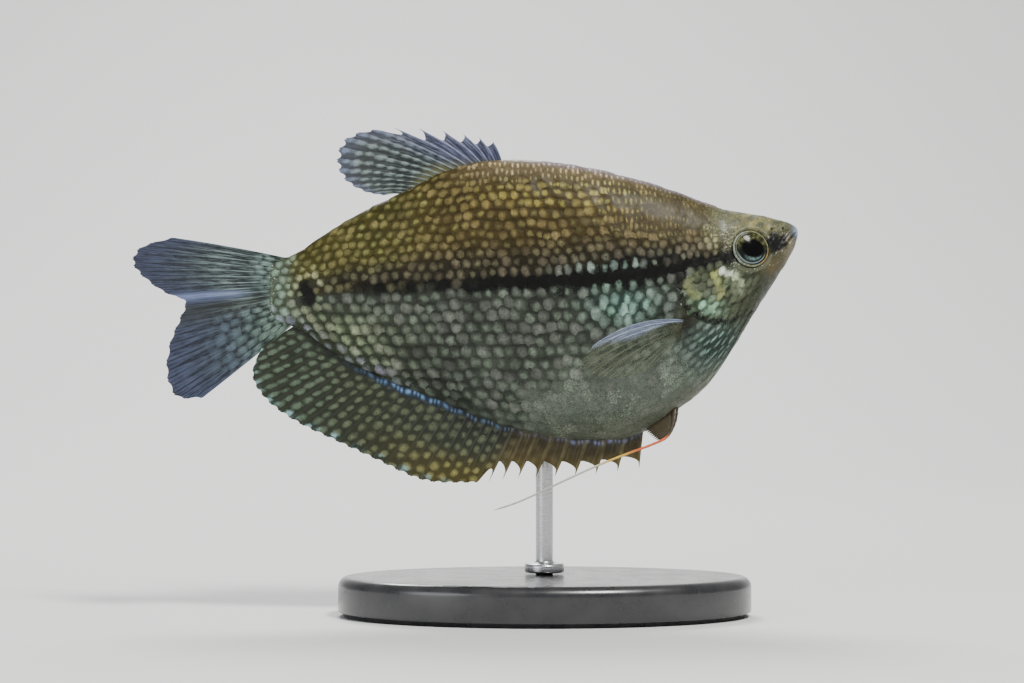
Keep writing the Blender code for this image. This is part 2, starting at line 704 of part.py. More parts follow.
def rod_socket():
    """The cutter for the rod's way into the left flank."""
    radius, top = ROD_RADIUS + GAP, ROD_TOP + GAP
    profile = [(0, 0.3 * ROD_TOP), (radius, 0.3 * ROD_TOP), (radius, top), (0, top)]
    return spun("rod_socket", profile, ROD_SIDES, Matrix.Translation((0, ROD_Y, 0)))


def stand_rod(finish):
    foot = BASE_HEIGHT - ROD_SOCKET + GAP
    seat_z = BASE_HEIGHT + GAP
    profile = [(0, foot), (ROD_RADIUS, foot), (ROD_RADIUS, seat_z), (COLLAR_RADIUS, seat_z)]
    profile += [(COLLAR_RADIUS, seat_z + 0.6 * COLLAR_HEIGHT), (ROD_RADIUS + 0.5 * MM, seat_z + COLLAR_HEIGHT)]
    profile += [(ROD_RADIUS, seat_z + COLLAR_HEIGHT), (ROD_RADIUS, ROD_TOP), (0, ROD_TOP)]
    return shade(spun("stand_rod", profile, ROD_SIDES, Matrix.Translation((0, ROD_Y, 0)), finish), 35)


def main():
    for obj in list(bpy.data.objects):
        bpy.data.objects.remove(obj)
    skin = material("skin", (0.19, 0.16, 0.09), 0.42)
    silver = material("gill_silver", (0.34, 0.35, 0.26), 0.3, 0.3)
    membrane = material("fin", (0.16, 0.18, 0.2), 0.4)
    amber = material("anal_fin", (0.2, 0.17, 0.08), 0.4)
    orange = material("feeler", (0.72, 0.26, 0.08), 0.4)
    iris = material("eye", (0.05, 0.05, 0.04), 0.12)
    dark = material("base", (0.03, 0.03, 0.032), 0.35)
    steel = material("rod", (0.55, 0.55, 0.56), 0.25, 1.0)

    head(skin)
    trunk(skin)
    stalk(skin)
    for name, side in (("right", -1), ("left", 1)):
        gill_cover(f"gill_cover_{name}", side, silver)
        eye(f"eye_{name}", side, iris)
        pectoral_fin(f"pectoral_fin_{name}", side, membrane)
    dorsal_fin(membrane)
    anal_fin(amber)
    tail_fin(membrane)
    feeler("pelvic_feeler_right", FEELER_RIGHT, orange)
    feeler("pelvic_feeler_left", FEELER_LEFT, orange)
    stand_base(dark)
    stand_rod(steel)


main()
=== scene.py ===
import math

import bmesh
import bpy
import numpy as np
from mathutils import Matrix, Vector


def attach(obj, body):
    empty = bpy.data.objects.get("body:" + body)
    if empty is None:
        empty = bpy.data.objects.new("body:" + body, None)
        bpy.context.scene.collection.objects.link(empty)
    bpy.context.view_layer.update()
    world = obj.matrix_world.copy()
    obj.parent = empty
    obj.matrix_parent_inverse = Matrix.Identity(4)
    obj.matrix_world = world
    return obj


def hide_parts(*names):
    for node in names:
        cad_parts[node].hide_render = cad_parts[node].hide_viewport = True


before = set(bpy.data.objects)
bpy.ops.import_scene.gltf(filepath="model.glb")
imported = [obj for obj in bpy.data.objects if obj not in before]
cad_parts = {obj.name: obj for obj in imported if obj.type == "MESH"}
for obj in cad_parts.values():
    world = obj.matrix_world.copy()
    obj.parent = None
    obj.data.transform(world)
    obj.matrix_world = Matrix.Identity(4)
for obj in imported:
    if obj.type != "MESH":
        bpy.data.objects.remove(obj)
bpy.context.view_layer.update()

MM = 0.001
SIDES = {1: "left", -1: "right"}

# The body as in the solids, as (x, value) from tail to snout
BACK = [
    (-41.3, 52.9), (-39.6, 53.8), (-38.2, 54.1), (-36.5, 55.0), (-33.7, 57.0), (-27.7, 60.6), (-21.7, 63.5),
    (-15.7, 66.5), (-12.0, 67.8), (-6.0, 68.6), (2.3, 68.1), (11.3, 66.3), (20.3, 63.6), (26.3, 61.2),
    (32.3, 60.1), (36.0, 59.25),
]
BELLY = [
    (-41.3, 45.0), (-39.6, 44.0), (-38.2, 43.5), (-36.7, 42.9), (-32.1, 39.6), (-25.9, 36.3), (-17.5, 32.9),
    (-7.0, 28.8), (0.5, 27.0), (6.8, 26.4), (12.3, 26.8), (15.0, 27.8), (18.5, 30.2), (24.8, 35.3),
    (28.1, 40.1), (31.5, 45.5), (36.0, 52.5),
]
HALF_WIDTH = [
    (-41.3, 0.1), (-39.8, 0.75), (-38.2, 1.2), (-34.0, 2.2), (-26.0, 3.4), (-14.0, 5.2), (-2.0, 6.6),
    (8.0, 7.2), (16.0, 7.0), (22.0, 6.3), (28.0, 5.0), (31.0, 4.2), (34.5, 2.9), (36.0, 2.2),
]
WIDEST_LEVEL = [
    (-38.2, 48.8), (-26.0, 48.5), (-10.0, 48.0), (6.0, 46.0), (16.0, 46.0), (24.0, 48.5), (31.0, 52.5),
    (35.5, 55.6), (38.0, 57.5),
]
ROOF_POINT = [(-38.2, 1.0), (-10.0, 1.12), (10.0, 1.08), (24.0, 0.9), (34.0, 0.78), (38.0, 0.85)]
KEEL_POINT = [
    (-38.2, 1.0), (-20.0, 1.35), (0.0, 1.15), (12.0, 1.0), (26.0, 1.05), (32.0, 1.15), (38.0, 0.95),
]
TAIL_END, SNOUT_FROM, SNOUT_TIP = -41.3, 36.0, (38.0, 57.5)
# How far the skin lies below the body's plain shape where scales cover it, and its points round a section
SKIN_DEPTH, SKIN_AROUND = 0.12, 236
# Where the rows of scales end, at the tail and on the head
SCALES_FROM, SCALES_TO = -41.0, 33.0

# The line of the dark stripe, which is also the middle row of scales
STRIPE = [
    (-42.0, 48.4), (-35.4, 48.3), (-32.2, 48.9), (-24.7, 49.2), (-9.7, 49.8), (8.3, 50.4), (14.3, 51.2),
    (23.3, 53.1), (27.5, 54.0), (33.0, 55.4), (38.0, 56.8),
]
STRIPE_HALF = [-36, -30, -20, -6, 8, 17, 22, 27, 36.6], [0.35, 0.75, 1.1, 1.55, 2.1, 2.2, 1.7, 1.25, 1.2]

# Eye, mouth and gill cover
EYE_X, EYE_Z, EYE_RADIUS = 30.6, 55.0, 2.8
EYE_FORWARD, EYE_UP = math.radians(14), math.radians(12)
MOUTH = [(35.35, 54.75), (36.1, 55.75), (36.9, 56.7), (37.5, 57.3), (38.3, 57.9)]
GILL_EDGE = [
    (27.2, 53.1), (24.8, 53.3), (22.3, 52.8), (20.6, 51.3), (20.0, 49.3), (20.4, 47.3), (21.6, 45.7),
    (23.6, 44.7), (26.3, 44.3), (29.3, 45.2), (31.9, 47.3),
]
CHEEK_EDGE = [
    (27.5, 51.9), (26.4, 50.9), (26.1, 49.2), (26.6, 47.5), (28.2, 46.9), (30.7, 48.6), (33.6, 52.0),
]
NOSTRILS = [(33.9, 58.0, 0.3), (35.6, 58.1, 0.24)]
# Bright patches on the cheek and gill cover, and one white painted glint: a line, how far they reach from
# it, and their colour
CHEEK_PATCHES_AND_GLINT = [
    ([(25.0, 51.3), (25.5, 50.0), (26.1, 48.5)], 0.55, (156, 160, 98)),
    ([(21.0, 49.4), (21.5, 48.8), (22.0, 47.9)], 0.7, (134, 142, 92)),
    ([(22.6, 51.2), (21.5, 50.5), (20.9, 49.6)], 0.35, (104, 112, 82)),
    # A painted glint
    ([(26.8, 51.5), (27.4, 51.2)], 0.5, (214, 224, 202)),
    ([(28.3, 50.8), (29.2, 49.9)], 0.45, (168, 180, 148)),
    ([(28.8, 48.9), (29.4, 48.0)], 0.4, (150, 164, 134)),
    ([(23.2, 46.6), (24.8, 46.0)], 0.45, (136, 172, 146)),
]

# Median fins, as in the solids
DORSAL_ROOTS = (-6.3, -21.4)
DORSAL_TIPS = [
    (-7.8, 71.3), (-11.8, 72.3), (-18.4, 73.2), (-25.3, 73.2), (-30.0, 71.8), (-31.4, 68.5), (-30.2, 65.5),
    (-27.2, 63.7), (-24.2, 63.1),
]
ANAL_TIPS = [
    (14.9, 14.2, 22.1), (8.0, 6.2, 21.1), (0.0, -3.2, 20.6), (-7.0, -11.8, 19.9), (-12.0, -18.3, 20.3),
    (-17.5, -25.8, 23.6), (-22.0, -32.0, 26.5), (-26.0, -37.5, 29.2), (-30.0, -42.0, 32.6),
    (-34.0, -43.9, 36.6), (-37.0, -42.4, 40.6),
]
TAIL_ROOT_X, TAIL_ROOTS = -37.2, (53.4, 44.2)
TAIL_TIPS = [
    (-55.9, 56.8), (-60.6, 55.4), (-62.0, 53.2), (-60.6, 51.0), (-57.4, 48.6), (-54.4, 47.3), (-55.0, 44.6),
    (-56.4, 41.0), (-56.8, 36.4), (-55.2, 32.9), (-51.3, 32.7),
]
PECTORAL_ROOTS = ((20.7, 44.4), (20.0, 41.9))
PECTORAL_TIPS = [
    (6.9, 40.6), (5.3, 38.4), (5.9, 36.6), (8.6, 35.6), (11.8, 35.9), (14.6, 36.8), (16.9, 38.3),
]
FEELER_RIGHT = [
    (19.5, -1.1, 31.4), (19.2, -2.3, 29.0), (18.2, -3.2, 27.0), (16.0, -3.8, 25.9), (13.0, -4.3, 24.8),
    (9.8, -4.7, 23.6), (6.9, -5.1, 22.4), (2.7, -5.4, 20.5), (-3.5, -5.4, 17.6), (-7.8, -5.0, 16.1),
]
FEELER_LEFT = [
    (19.5, 1.1, 31.4), (18.2, 3.2, 29.6), (15.5, 5.3, 28.6), (11.5, 7.0, 28.1), (7.5, 7.9, 27.6),
    (3.0, 8.3, 26.8), (-2.5, 8.3, 25.7), (-8.0, 7.8, 24.8), (-11.5, 7.2, 24.6),
]


# Curves and small helpers
def curve(points):
    """A smooth function through the points, of their first numbers. It takes single numbers and arrays."""
    table = np.array(sorted(points), float)
    xs, ys = table[:, 0], table[:, 1:]
    steps = np.diff(xs)[:, None]
    rises = np.diff(ys, axis=0) / steps
    inner = (rises[:-1] * steps[1:] + rises[1:] * steps[:-1]) / (steps[1:] + steps[:-1])
    slopes = np.vstack([rises[:1], inner, rises[-1:]])

    def at(x):
        x = np.asarray(x, float)
        i = np.clip(np.searchsorted(xs, x) - 1, 0, len(xs) - 2)
        width = (xs[i + 1] - xs[i])[..., None]
        t = np.clip((x - xs[i])[..., None] / width, 0, 1)
        near = (1 + 2 * t) * (1 - t) ** 2 * ys[i] + t * (1 - t) ** 2 * width * slopes[i]
        far = t * t * (3 - 2 * t) * ys[i + 1] + t * t * (t - 1) * width * slopes[i + 1]
        found = near + far
        return found[..., 0] if found.shape[-1] == 1 else found

    return at


def pack(*parts):
    """Arrays and numbers side by side, as the last axis of one array."""
    return np.stack(np.broadcast_arrays(*parts), axis=-1)


def evenly(points):
    """The points with their share of the way from the first to the last in front, for curve."""
    return [(i / (len(points) - 1), *p) for i, p in enumerate(points)]


def ramp(x, low, high):
    """0 at low, 1 at high, smooth between them and level outside. low can be the larger one."""
    t = np.clip((np.asarray(x, float) - low) / (high - low), 0, 1)
    return t * t * (3 - 2 * t)


def circle(count):
    """Angles once round."""
    return 2 * math.pi * np.arange(count) / count


def bell(x, middle, width):
    """1 at the middle, falling to nothing about twice the width away."""
    return np.exp(-(((np.asarray(x, float) - middle) / width) ** 2))


def wobble(x, z, scale, seed=0):
    """A smooth, repeatable wave field between about -1 and 1, with features of about the given size."""
    total = 0
    for k, (turn, stretch) in enumerate(((0.4, 1.0), (1.7, 1.31), (2.9, 0.83), (4.4, 1.6))):
        a = turn + 1.3 * seed
        wave = (x * math.cos(a) + z * math.sin(a)) * 2 * math.pi / (scale * stretch)
        total = total + np.sin(wave + 5.1 * seed + k)
    return total / 2.4


_back, _belly, _width = curve(BACK), curve(BELLY), curve(HALF_WIDTH)
widest_level, roof_point, keel_point = curve(WIDEST_LEVEL), curve(ROOF_POINT), curve(KEEL_POINT)
stripe_level = curve(STRIPE)


def rounded(inner, x, power):
    """Carries a body curve to the snout's tip, where it turns in."""
    x = np.asarray(x, float)
    u = np.clip((x - SNOUT_FROM) / (SNOUT_TIP[0] - SNOUT_FROM), 0, 1)
    return inner(np.minimum(x, SNOUT_FROM)), (1 - u) ** power


def back(x):
    value, share = rounded(_back, x, 0.42)
    return np.where(np.asarray(x) > SNOUT_FROM, SNOUT_TIP[1] + (value - SNOUT_TIP[1]) * share, value)


def belly(x):
    value, share = rounded(_belly, x, 0.62)
    return np.where(np.asarray(x) > SNOUT_FROM, SNOUT_TIP[1] + (value - SNOUT_TIP[1]) * share, value)


def half_width(x):
    value, share = rounded(_width, x, 0.5)
    return value * share


def level(x):
    """The height where a section is widest, kept between its back and belly."""
    low, high = belly(x), back(x)
    return np.clip(widest_level(x), low + 0.25 * (high - low), high - 0.2 * (high - low))


def flank(x, z):
    """Half the body's width at (x, z)."""
    middle = level(x)
    above = z > middle
    reach = np.maximum(np.where(above, back(x) - middle, middle - belly(x)), 1e-6)
    sharp = np.where(above, roof_point(x), keel_point(x))
    share = np.minimum(abs(z - middle) / reach, 1.0)
    return half_width(x) * (1 - share * share) ** (sharp / 2)


def ring_point(x, angle):
    """(x, y, z) on the section at x, at this angle from the back round the +Y side."""
    x, angle = np.broadcast_arrays(np.asarray(x, float), np.asarray(angle, float))
    turn = np.minimum(angle, 2 * math.pi - angle)
    middle = level(x)
    above = turn < math.pi / 2
    reach = np.where(above, back(x) - middle, middle - belly(x))
    sharp = np.where(above, roof_point(x), keel_point(x))
    y = half_width(x) * np.maximum(np.sin(turn), 0) ** sharp
    return pack(x, np.where(angle <= math.pi, y, -y), middle + reach * np.cos(turn))


def nearest(points, x, z, steps=60):
    """For each (x, z): the distance to a smooth line, the share of the way along it, and its side of it."""
    line = curve(evenly(points))(np.linspace(0, 1, steps))
    best = np.full(x.shape, 1e9)
    share, side = np.zeros(x.shape), np.ones(x.shape)
    for i in range(steps - 1):
        a, b = line[i], line[i + 1]
        d = b - a
        t = np.clip(((x - a[0]) * d[0] + (z - a[1]) * d[1]) / (d @ d), 0, 1)
        away = np.hypot(x - a[0] - t * d[0], z - a[1] - t * d[1])
        closer = away < best
        best = np.where(closer, away, best)
        share = np.where(closer, (i + t) / (steps - 1), share)
        side = np.where(closer, np.sign(d[0] * (z - a[1]) - d[1] * (x - a[0])), side)
    return best, share, side


def band(points, x, z, steps, middle, width, start, end):
    """1 on a band beside a smooth line, coming in and going out between these shares of the way along it."""
    away, share = nearest(points, x, z, steps)[:2]
    return bell(away, middle, width) * ramp(share, *start) * (1 - ramp(share, *end))


# Colours. They are written as they look, 0 to 255, and blended in linear light.
def tint(r, g, b):
    """The colour in linear light."""
    c = np.array([r, g, b]) / 255
    return np.where(c <= 0.04045, c / 12.92, ((c + 0.055) / 1.055) ** 2.4)


class Coat:
    """The ground's and the spots' colours at each point, painted on in layers."""

    def __init__(self, shape, ground, spot):
        self.ground, self.spot = (np.broadcast_to(tint(*c), shape + (3,)) for c in (ground, spot))

    def paint(self, weight, ground=None, spot=None):
        """Lays colours over the others, by a weight for each point."""
        w = np.clip(weight, 0, 1)[..., None]
        if ground:
            self.ground = self.ground * (1 - w) + tint(*ground) * w
        if spot:
            self.spot = self.spot * (1 - w) + tint(*spot) * w


def heights(x, z):
    """The stripe's level, and how far up to the back and down to the belly each (x, z) is, from 0 to 1."""
    line = stripe_level(x)
    up = np.clip((z - line) / np.maximum(back(x) - line, 0.5), 0, 1)
    down = np.clip((line - z) / np.maximum(line - belly(x), 0.5), 0, 1)
    return line, up, down


def oval(x, z, middle, reach):
    """1 at the middle (x, z), fading within the reach (x, z)."""
    return bell(x, middle[0], reach[0]) * bell(z, middle[1], reach[1])


def markings(x, z):
    """(ground colour, spot colour, spots' strength) of the body at each (x, z), the same on both sides."""
    x, z = np.broadcast_arrays(np.asarray(x, float), np.asarray(z, float))
    line, up, down = heights(x, z)
    above = ramp(z - line, -1.0, 1.2)
    rough = wobble(x, z, 9.0, 1) * 0.5 + wobble(x, z, 4.0, 2) * 0.5
    ragged = wobble(x, z, 2.1, 5) * 0.45 + wobble(x, z, 4.4, 6) * 0.35

    # Below the stripe: grey-green pebbles, paler and plainer on the belly, warmer towards the tail
    coat = Coat(x.shape, (42, 46, 39), (82, 88, 79))
    paint = coat.paint
    paint(bell(x, -31, 9) * ramp(down, 0.1, 0.6), (46, 52, 37), (108, 118, 92))
    breast = oval(x, z, (25.5, 40.8), (5.0, 4.4))
    low = ramp(down + 0.08 * rough + 0.15 * ramp(x, -2, 12), 0.42, 0.85)
    low = low * ramp(x + 3 * rough, -14, 4) * (1 - 0.9 * breast)
    paint(low * 0.95, (76, 83, 73), (116, 124, 111))
    paint(ramp(down, 0.8, 1.0) * ramp(x, -6, 8) * 0.7, (88, 91, 76), (124, 127, 110))
    teal = oval(x, z, (11.8, 46.6), (4.4, 2.6))
    paint(teal * 0.7, (28, 54, 48))
    paint(teal * 0.95, spot=(130, 164, 150))
    paint(breast * 0.85, (36, 50, 45))
    paint(breast * 0.9, spot=(108, 137, 127))
    # Above it: olive brown with cream spots, yellower towards the tail, paler along the ridge, where the
    # lighter ground is partly painted light from above
    paint(above, (52, 43, 18), (95, 86, 51))
    paint(above * ramp(-x, 12, 26), (54, 50, 18), (98, 95, 55))
    grey = above * ramp(up, 0.42 + 0.08 * ramp(x, -4, 6), 0.12 + 0.06 * ramp(x, -4, 6))
    paint(grey * 0.9, (25, 22, 14), (72, 69, 56))
    paint(above * oval(x, z - line, (9.5, 1.5), (6.5, 1.1)) * 0.85, spot=(118, 138, 130))
    yellow = above * oval(x, up, (3, 0.72), (13, 0.14))
    paint(yellow * 0.8, spot=(134, 124, 54))
    glow = above * oval(x, up, (11.5, 0.86), (5.5, 0.08))
    paint(glow * 0.8, spot=(150, 146, 78))
    paint(yellow * 0.5, (66, 54, 18))
    # Along the ridge: a paler ground, partly painted light from above, and pale dashes
    ridge = ramp(up, 0.8, 0.97) * ramp(x, -16, -6)
    paint(ridge * 0.85, (98, 86, 60))
    paint(ridge * 0.9 * (1 - 0.5 * glow), spot=(166, 150, 114))
    nape = above * ramp(x, 10, 22) * ramp(up, 0.2, 0.7)
    paint(nape, (55, 48, 26))
    paint(nape * (1 - 0.7 * glow), spot=(102, 93, 60))
    # Painted sheen: a lavender band along the very top of the back
    rim = ramp(up, 0.93, 1.0) * ramp(x, -8, 4) * ramp(-x, -32, -26)
    paint(rim * 0.6, (122, 112, 132))
    paint(rim * 0.5, spot=(166, 156, 178))
    paint(ramp(-x + 0.9 * ragged, 36.0, 39.8), (64, 72, 56), (112, 134, 116))
    # The head: pale olive above, gold and green on the cheek and gill cover, teal grey at the throat
    head = ramp(x + 0.35 * (line - z), 20.5, 23.5) * ramp(z, 42.5, 45.5)
    crown = head * ramp(z - line, 0.4, 2.6) * ramp(x + 0.9 * ragged, 22.0, 26.5)
    paint(crown * 0.95, (77, 79, 59))
    paint(crown, spot=(176, 174, 128))
    warm = crown * bell(x, 31.5, 3.2) * ramp(z, 57.2, 58.4)
    paint(warm * (0.4 + 0.6 * wobble(x, z, 1.7, 33)), (138, 130, 78))
    dusk = head * bell(z - line, 1.6, 1.5) * ramp(x, 28.5, 26.5)
    paint(dusk * 0.75, (54, 50, 32))
    cheek = head * ramp(line - z, 0.3, 1.2)
    paint(cheek, (46, 50, 36), (78, 84, 66))
    wx = x + 0.32 * wobble(x, z, 1.15, 21) + 0.1 * wobble(x, z, 0.5, 22)
    wz = z + 0.32 * wobble(x, z, 1.35, 23) + 0.1 * wobble(x, z, 0.6, 24)
    silver = cheek * oval(wx, wz, (28.2, 49.9), (1.6, 2.2))
    paint(silver * (0.3 + 0.6 * wobble(x, z, 1.3, 11)), (104, 112, 88))
    paint(silver * 0.8, spot=(126, 134, 108))
    lower = cheek * oval(x, z, (24.0, 46.3), (2.6, 1.5))
    paint(lower * (0.3 + 0.5 * wobble(x, z, 1.2, 12)), (88, 118, 98))
    paint(lower * 0.8, spot=(106, 132, 114))
    # The bright patches, and the painted glint
    for patch, reach, colour in CHEEK_PATCHES_AND_GLINT:
        away = nearest(patch, wx, wz, 14)[0]
        share = ramp(away, 1.2 * reach, 0.2 * reach) * (0.85 + 0.25 * wobble(x, z, 0.7, 25))
        paint(share, colour, colour)
    jaw = ramp(x - 0.55 * (57 - z), 31.8, 34.6) * ramp(57.3 - z, 0.0, 1.2)
    paint(jaw * (0.7 + 0.3 * ragged), (80, 76, 54))
    paint(jaw * 0.8, spot=(134, 128, 98))
    paint(bell(x, 36.7, 1.0) * ramp(57.0 - z, 0.0, 0.9) * 0.45, (116, 106, 84))
    paint(oval(x, z, (34.0, 52.6), (1.5, 1.4)) * 0.45, (112, 92, 48))
    paint(bell(x, 38.2, 0.85) * ramp(z, 56.3, 57.8), (156, 174, 200), (190, 200, 216))
    # Painted shade in the groove behind the gill cover, in the pit at the pectoral's root and at the eye's
    # edge; a dark line along the cheek plate, and a pale line round the eye
    # Painted shade behind the gill cover and in the pit at the pectoral's root
    gill_groove_shade = band(GILL_EDGE, x, z, 40, 0.12, 0.22, (0.2, 0.36), (0.8, 1.0))
    pit_shade = oval(x, z, (20.7, 43.9), (0.95, 2.3))
    paint(np.maximum(gill_groove_shade * 0.85, pit_shade * 0.95), (20, 16, 11))
    paint(pit_shade * 0.9, spot=(30, 25, 18))
    paint(band(CHEEK_EDGE, wx, wz, 40, 0.1, 0.2, (0.25, 0.45), (0.75, 1.0)) * 0.75, (38, 28, 16))
    out = np.hypot(x - EYE_X, z - EYE_Z) - EYE_RADIUS
    # A thin painted shade where the skin meets the eye, and a pale line just outside it
    paint(bell(out, 0.05, 0.15) * 0.45, (50, 50, 36))
    paint(bell(out, 0.5, 0.22) * 0.4, (128, 128, 94))
    # The stripe: ragged, through the eye to the snout, fading before the dark spot on the tail stalk
    thick = np.interp(x, *STRIPE_HALF)
    off = z - line + 0.3 * rough
    off = np.where(off > 0, off * (1 - 0.3 * bell(x, 12, 9)), -off * 1.05)
    seen = ramp(x, -32.5, -26) * ramp(x, 30.5, 28.5)
    dark = ramp(off, thick * (1.02 + 0.45 * ragged) + 0.35, thick * (0.56 + 0.4 * ragged))
    front = ramp(np.hypot((wx - 34.5) / 1.75, (wz - 55.9) / 1.55), 1.12, 0.66)
    dark = np.maximum(dark * seen, front * ramp(x, 32.4, 33.0))
    gap = ramp(wobble(x, z, 3.1, 51), -0.1, 0.5) * ramp(-x, 6, 16)
    blotch = ramp(np.hypot((x + 35.4) * 1.25, (z - 48.4) * 0.82) + 0.25 * ragged, 1.85, 1.3)
    paint(np.maximum(dark * (1 - 0.7 * gap), blotch) * 0.97, (3, 4, 3))
    bare = ramp(off - 0.35 * ragged, 0.62 * thick, 0.24 * thick) * (1 - 0.8 * gap)
    bare = np.maximum(bare * seen, np.maximum(blotch, front))
    paint(bare * 0.98, spot=(4, 5, 4))
    paint(bell(np.hypot(x + 35.3, (z - 48.3) * 0.78), 2.5, 0.6) * 0.5, spot=(150, 156, 120))
    paint(bell(z - belly(x), 0.7, 0.9) * ramp(-x, 17, 25) * 0.6, spot=(120, 120, 142))
    # The spots fade on the belly, in the pit's painted shade, on the stripe and a little on the head
    strong = (1 - 0.9 * low) * (1 - pit_shade) * (1 - bare) * (1 - 0.1 * head * (1 - cheek))
    strong = strong * (1 - 0.42 * nape * (1 + 0.8 * ramp(x, 19, 26)))
    ground = coat.ground * (1 + 0.18 * rough)[..., None]
    spot = coat.spot * (1 + 0.22 * wobble(x, z, 6.5, 31))[..., None]
    return np.clip(ground, 0, 1), np.clip(spot, 0, 1), np.clip(strong, 0, 1)


def spot_form(x, z):
    """(radius, tallness, share of the fine upright dashes) of the spots on the scales at each (x, z)."""
    line, up = heights(x, z)[:2]
    radius = 0.85 - 0.14 * ramp(z - line, -0.6, 0.6) - 0.14 * bell(z - line, -1.4, 1.3)
    dash = ramp(up, 0.76, 0.86) * ramp(x, -16, -9) * ramp(x, 28, 24)
    dash = np.maximum(dash, ramp(up, 0.3, 0.55) * ramp(x, 4, 13))
    breast = oval(x, z, (25.5, 40.5), (5.0, 5.0))
    teal = oval(x, z, (11.8, 46.6), (5.0, 3.2))
    upright = oval(x, z - line, (9.5, 1.7), (7.0, 1.3))
    tall = (1.0 + 0.25 * bell(z - line, 1.6, 2.2) + 0.7 * teal + 0.5 * upright) * (1 - 0.58 * breast)
    radius = radius * (1 - 0.2 * np.maximum(teal, upright))
    cheek = ramp(x, 20.3, 22.3) * ramp(line - z, 0.3, 1.2) * ramp(z, 44.5, 46.0)
    return radius * (1 - 0.38 * dash) * (1 + 0.32 * cheek), tall, dash


# Meshes
def new_object(name, points, faces, finish, colours=None, vectors=None, uv=None, join=False):
    """An object from arrays of points in millimetres and four-sided faces. colours and vectors are
    attributes by point, and uv holds a map's name and its coordinates by point. join merges points that lie
    on each other, so that ends that are drawn to a point are closed."""
    data = bpy.data.meshes.new(name)
    points = np.asarray(points, float) * MM
    faces = np.asarray(faces)
    data.vertices.add(len(points))
    data.vertices.foreach_set("co", points.ravel())
    data.loops.add(faces.size)
    data.loops.foreach_set("vertex_index", faces.ravel())
    data.polygons.add(len(faces))
    data.polygons.foreach_set("loop_start", np.arange(0, faces.size, faces.shape[1]))
    data.update(calc_edges=True)
    data.shade_smooth()
    for key, values in (colours or {}).items():
        layer = data.color_attributes.new(key, "FLOAT_COLOR", "POINT")
        values = np.asarray(values, float)
        if values.shape[1] == 3:
            values = np.column_stack([values, np.ones(len(values))])
        layer.data.foreach_set("color", values.ravel())
    for key, values in (vectors or {}).items():
        layer = data.attributes.new(key, "FLOAT_VECTOR", "POINT")
        layer.data.foreach_set("vector", np.asarray(values, float).ravel())
    if uv:
        corners = np.empty(len(data.loops), int)
        data.loops.foreach_get("vertex_index", corners)
        own = np.asarray(uv[1], float)[corners].reshape(faces.shape + (2,))
        # Faces that close a ring run on past the map's right side, not back across it
        own[..., 0] += (np.ptp(own[..., 0], axis=1, keepdims=True) > 0.9) & (own[..., 0] < 0.5)
        data.uv_layers.new(name=uv[0]).data.foreach_set("uv", own.ravel())
    data.validate()
    if join:
        mesh = bmesh.new()
        mesh.from_mesh(data)
        bmesh.ops.remove_doubles(mesh, verts=mesh.verts, dist=1e-7)
        mesh.to_mesh(data)
        mesh.free()
    made = bpy.data.objects.new(name, data)
    bpy.context.scene.collection.objects.link(made)
    data.materials.append(finish)
    return made


def grid_faces(rows, columns, wrap=False, start=0):
    """Quads over a grid of points that are numbered row by row. wrap joins its last column to its first."""
    r = np.arange(rows - 1)[:, None]
    c = np.arange(columns if wrap else columns - 1)[None, :]
    n = (c + 1) % columns
    quads = [r * columns + c, r * columns + n, (r + 1) * columns + n, (r + 1) * columns + c]
    return np.stack(quads, axis=-1).reshape(-1, 4) + start


def grid_normals(points, wrap=False):
    """Unit normals of a grid of points (rows, columns, 3)."""
    along = np.gradient(points, axis=0)
    if wrap:
        across = np.roll(points, -1, axis=1) - np.roll(points, 1, axis=1)
    else:
        across = np.gradient(points, axis=1)
    out = np.cross(across, along)
    return out / np.maximum(np.linalg.norm(out, axis=-1, keepdims=True), 1e-9)


# Materials
def sum_with(operation, swap=False):
    """A method of Value that makes a math node with this operation."""

    def method(value, other=0.0):
        pair = (other, value) if swap else (value, other)
        return value.nodes.math(operation, *pair)

    return method


class Value:
    """A node's output. Sums of values and numbers make math nodes."""

    def __init__(self, nodes, socket):
        self.nodes, self.socket = nodes, socket

    __add__ = __radd__ = sum_with("ADD")
    __sub__, __rsub__ = sum_with("SUBTRACT"), sum_with("SUBTRACT", swap=True)
    __mul__ = __rmul__ = sum_with("MULTIPLY")
    __truediv__ = sum_with("DIVIDE")
    __abs__ = sum_with("ABSOLUTE")


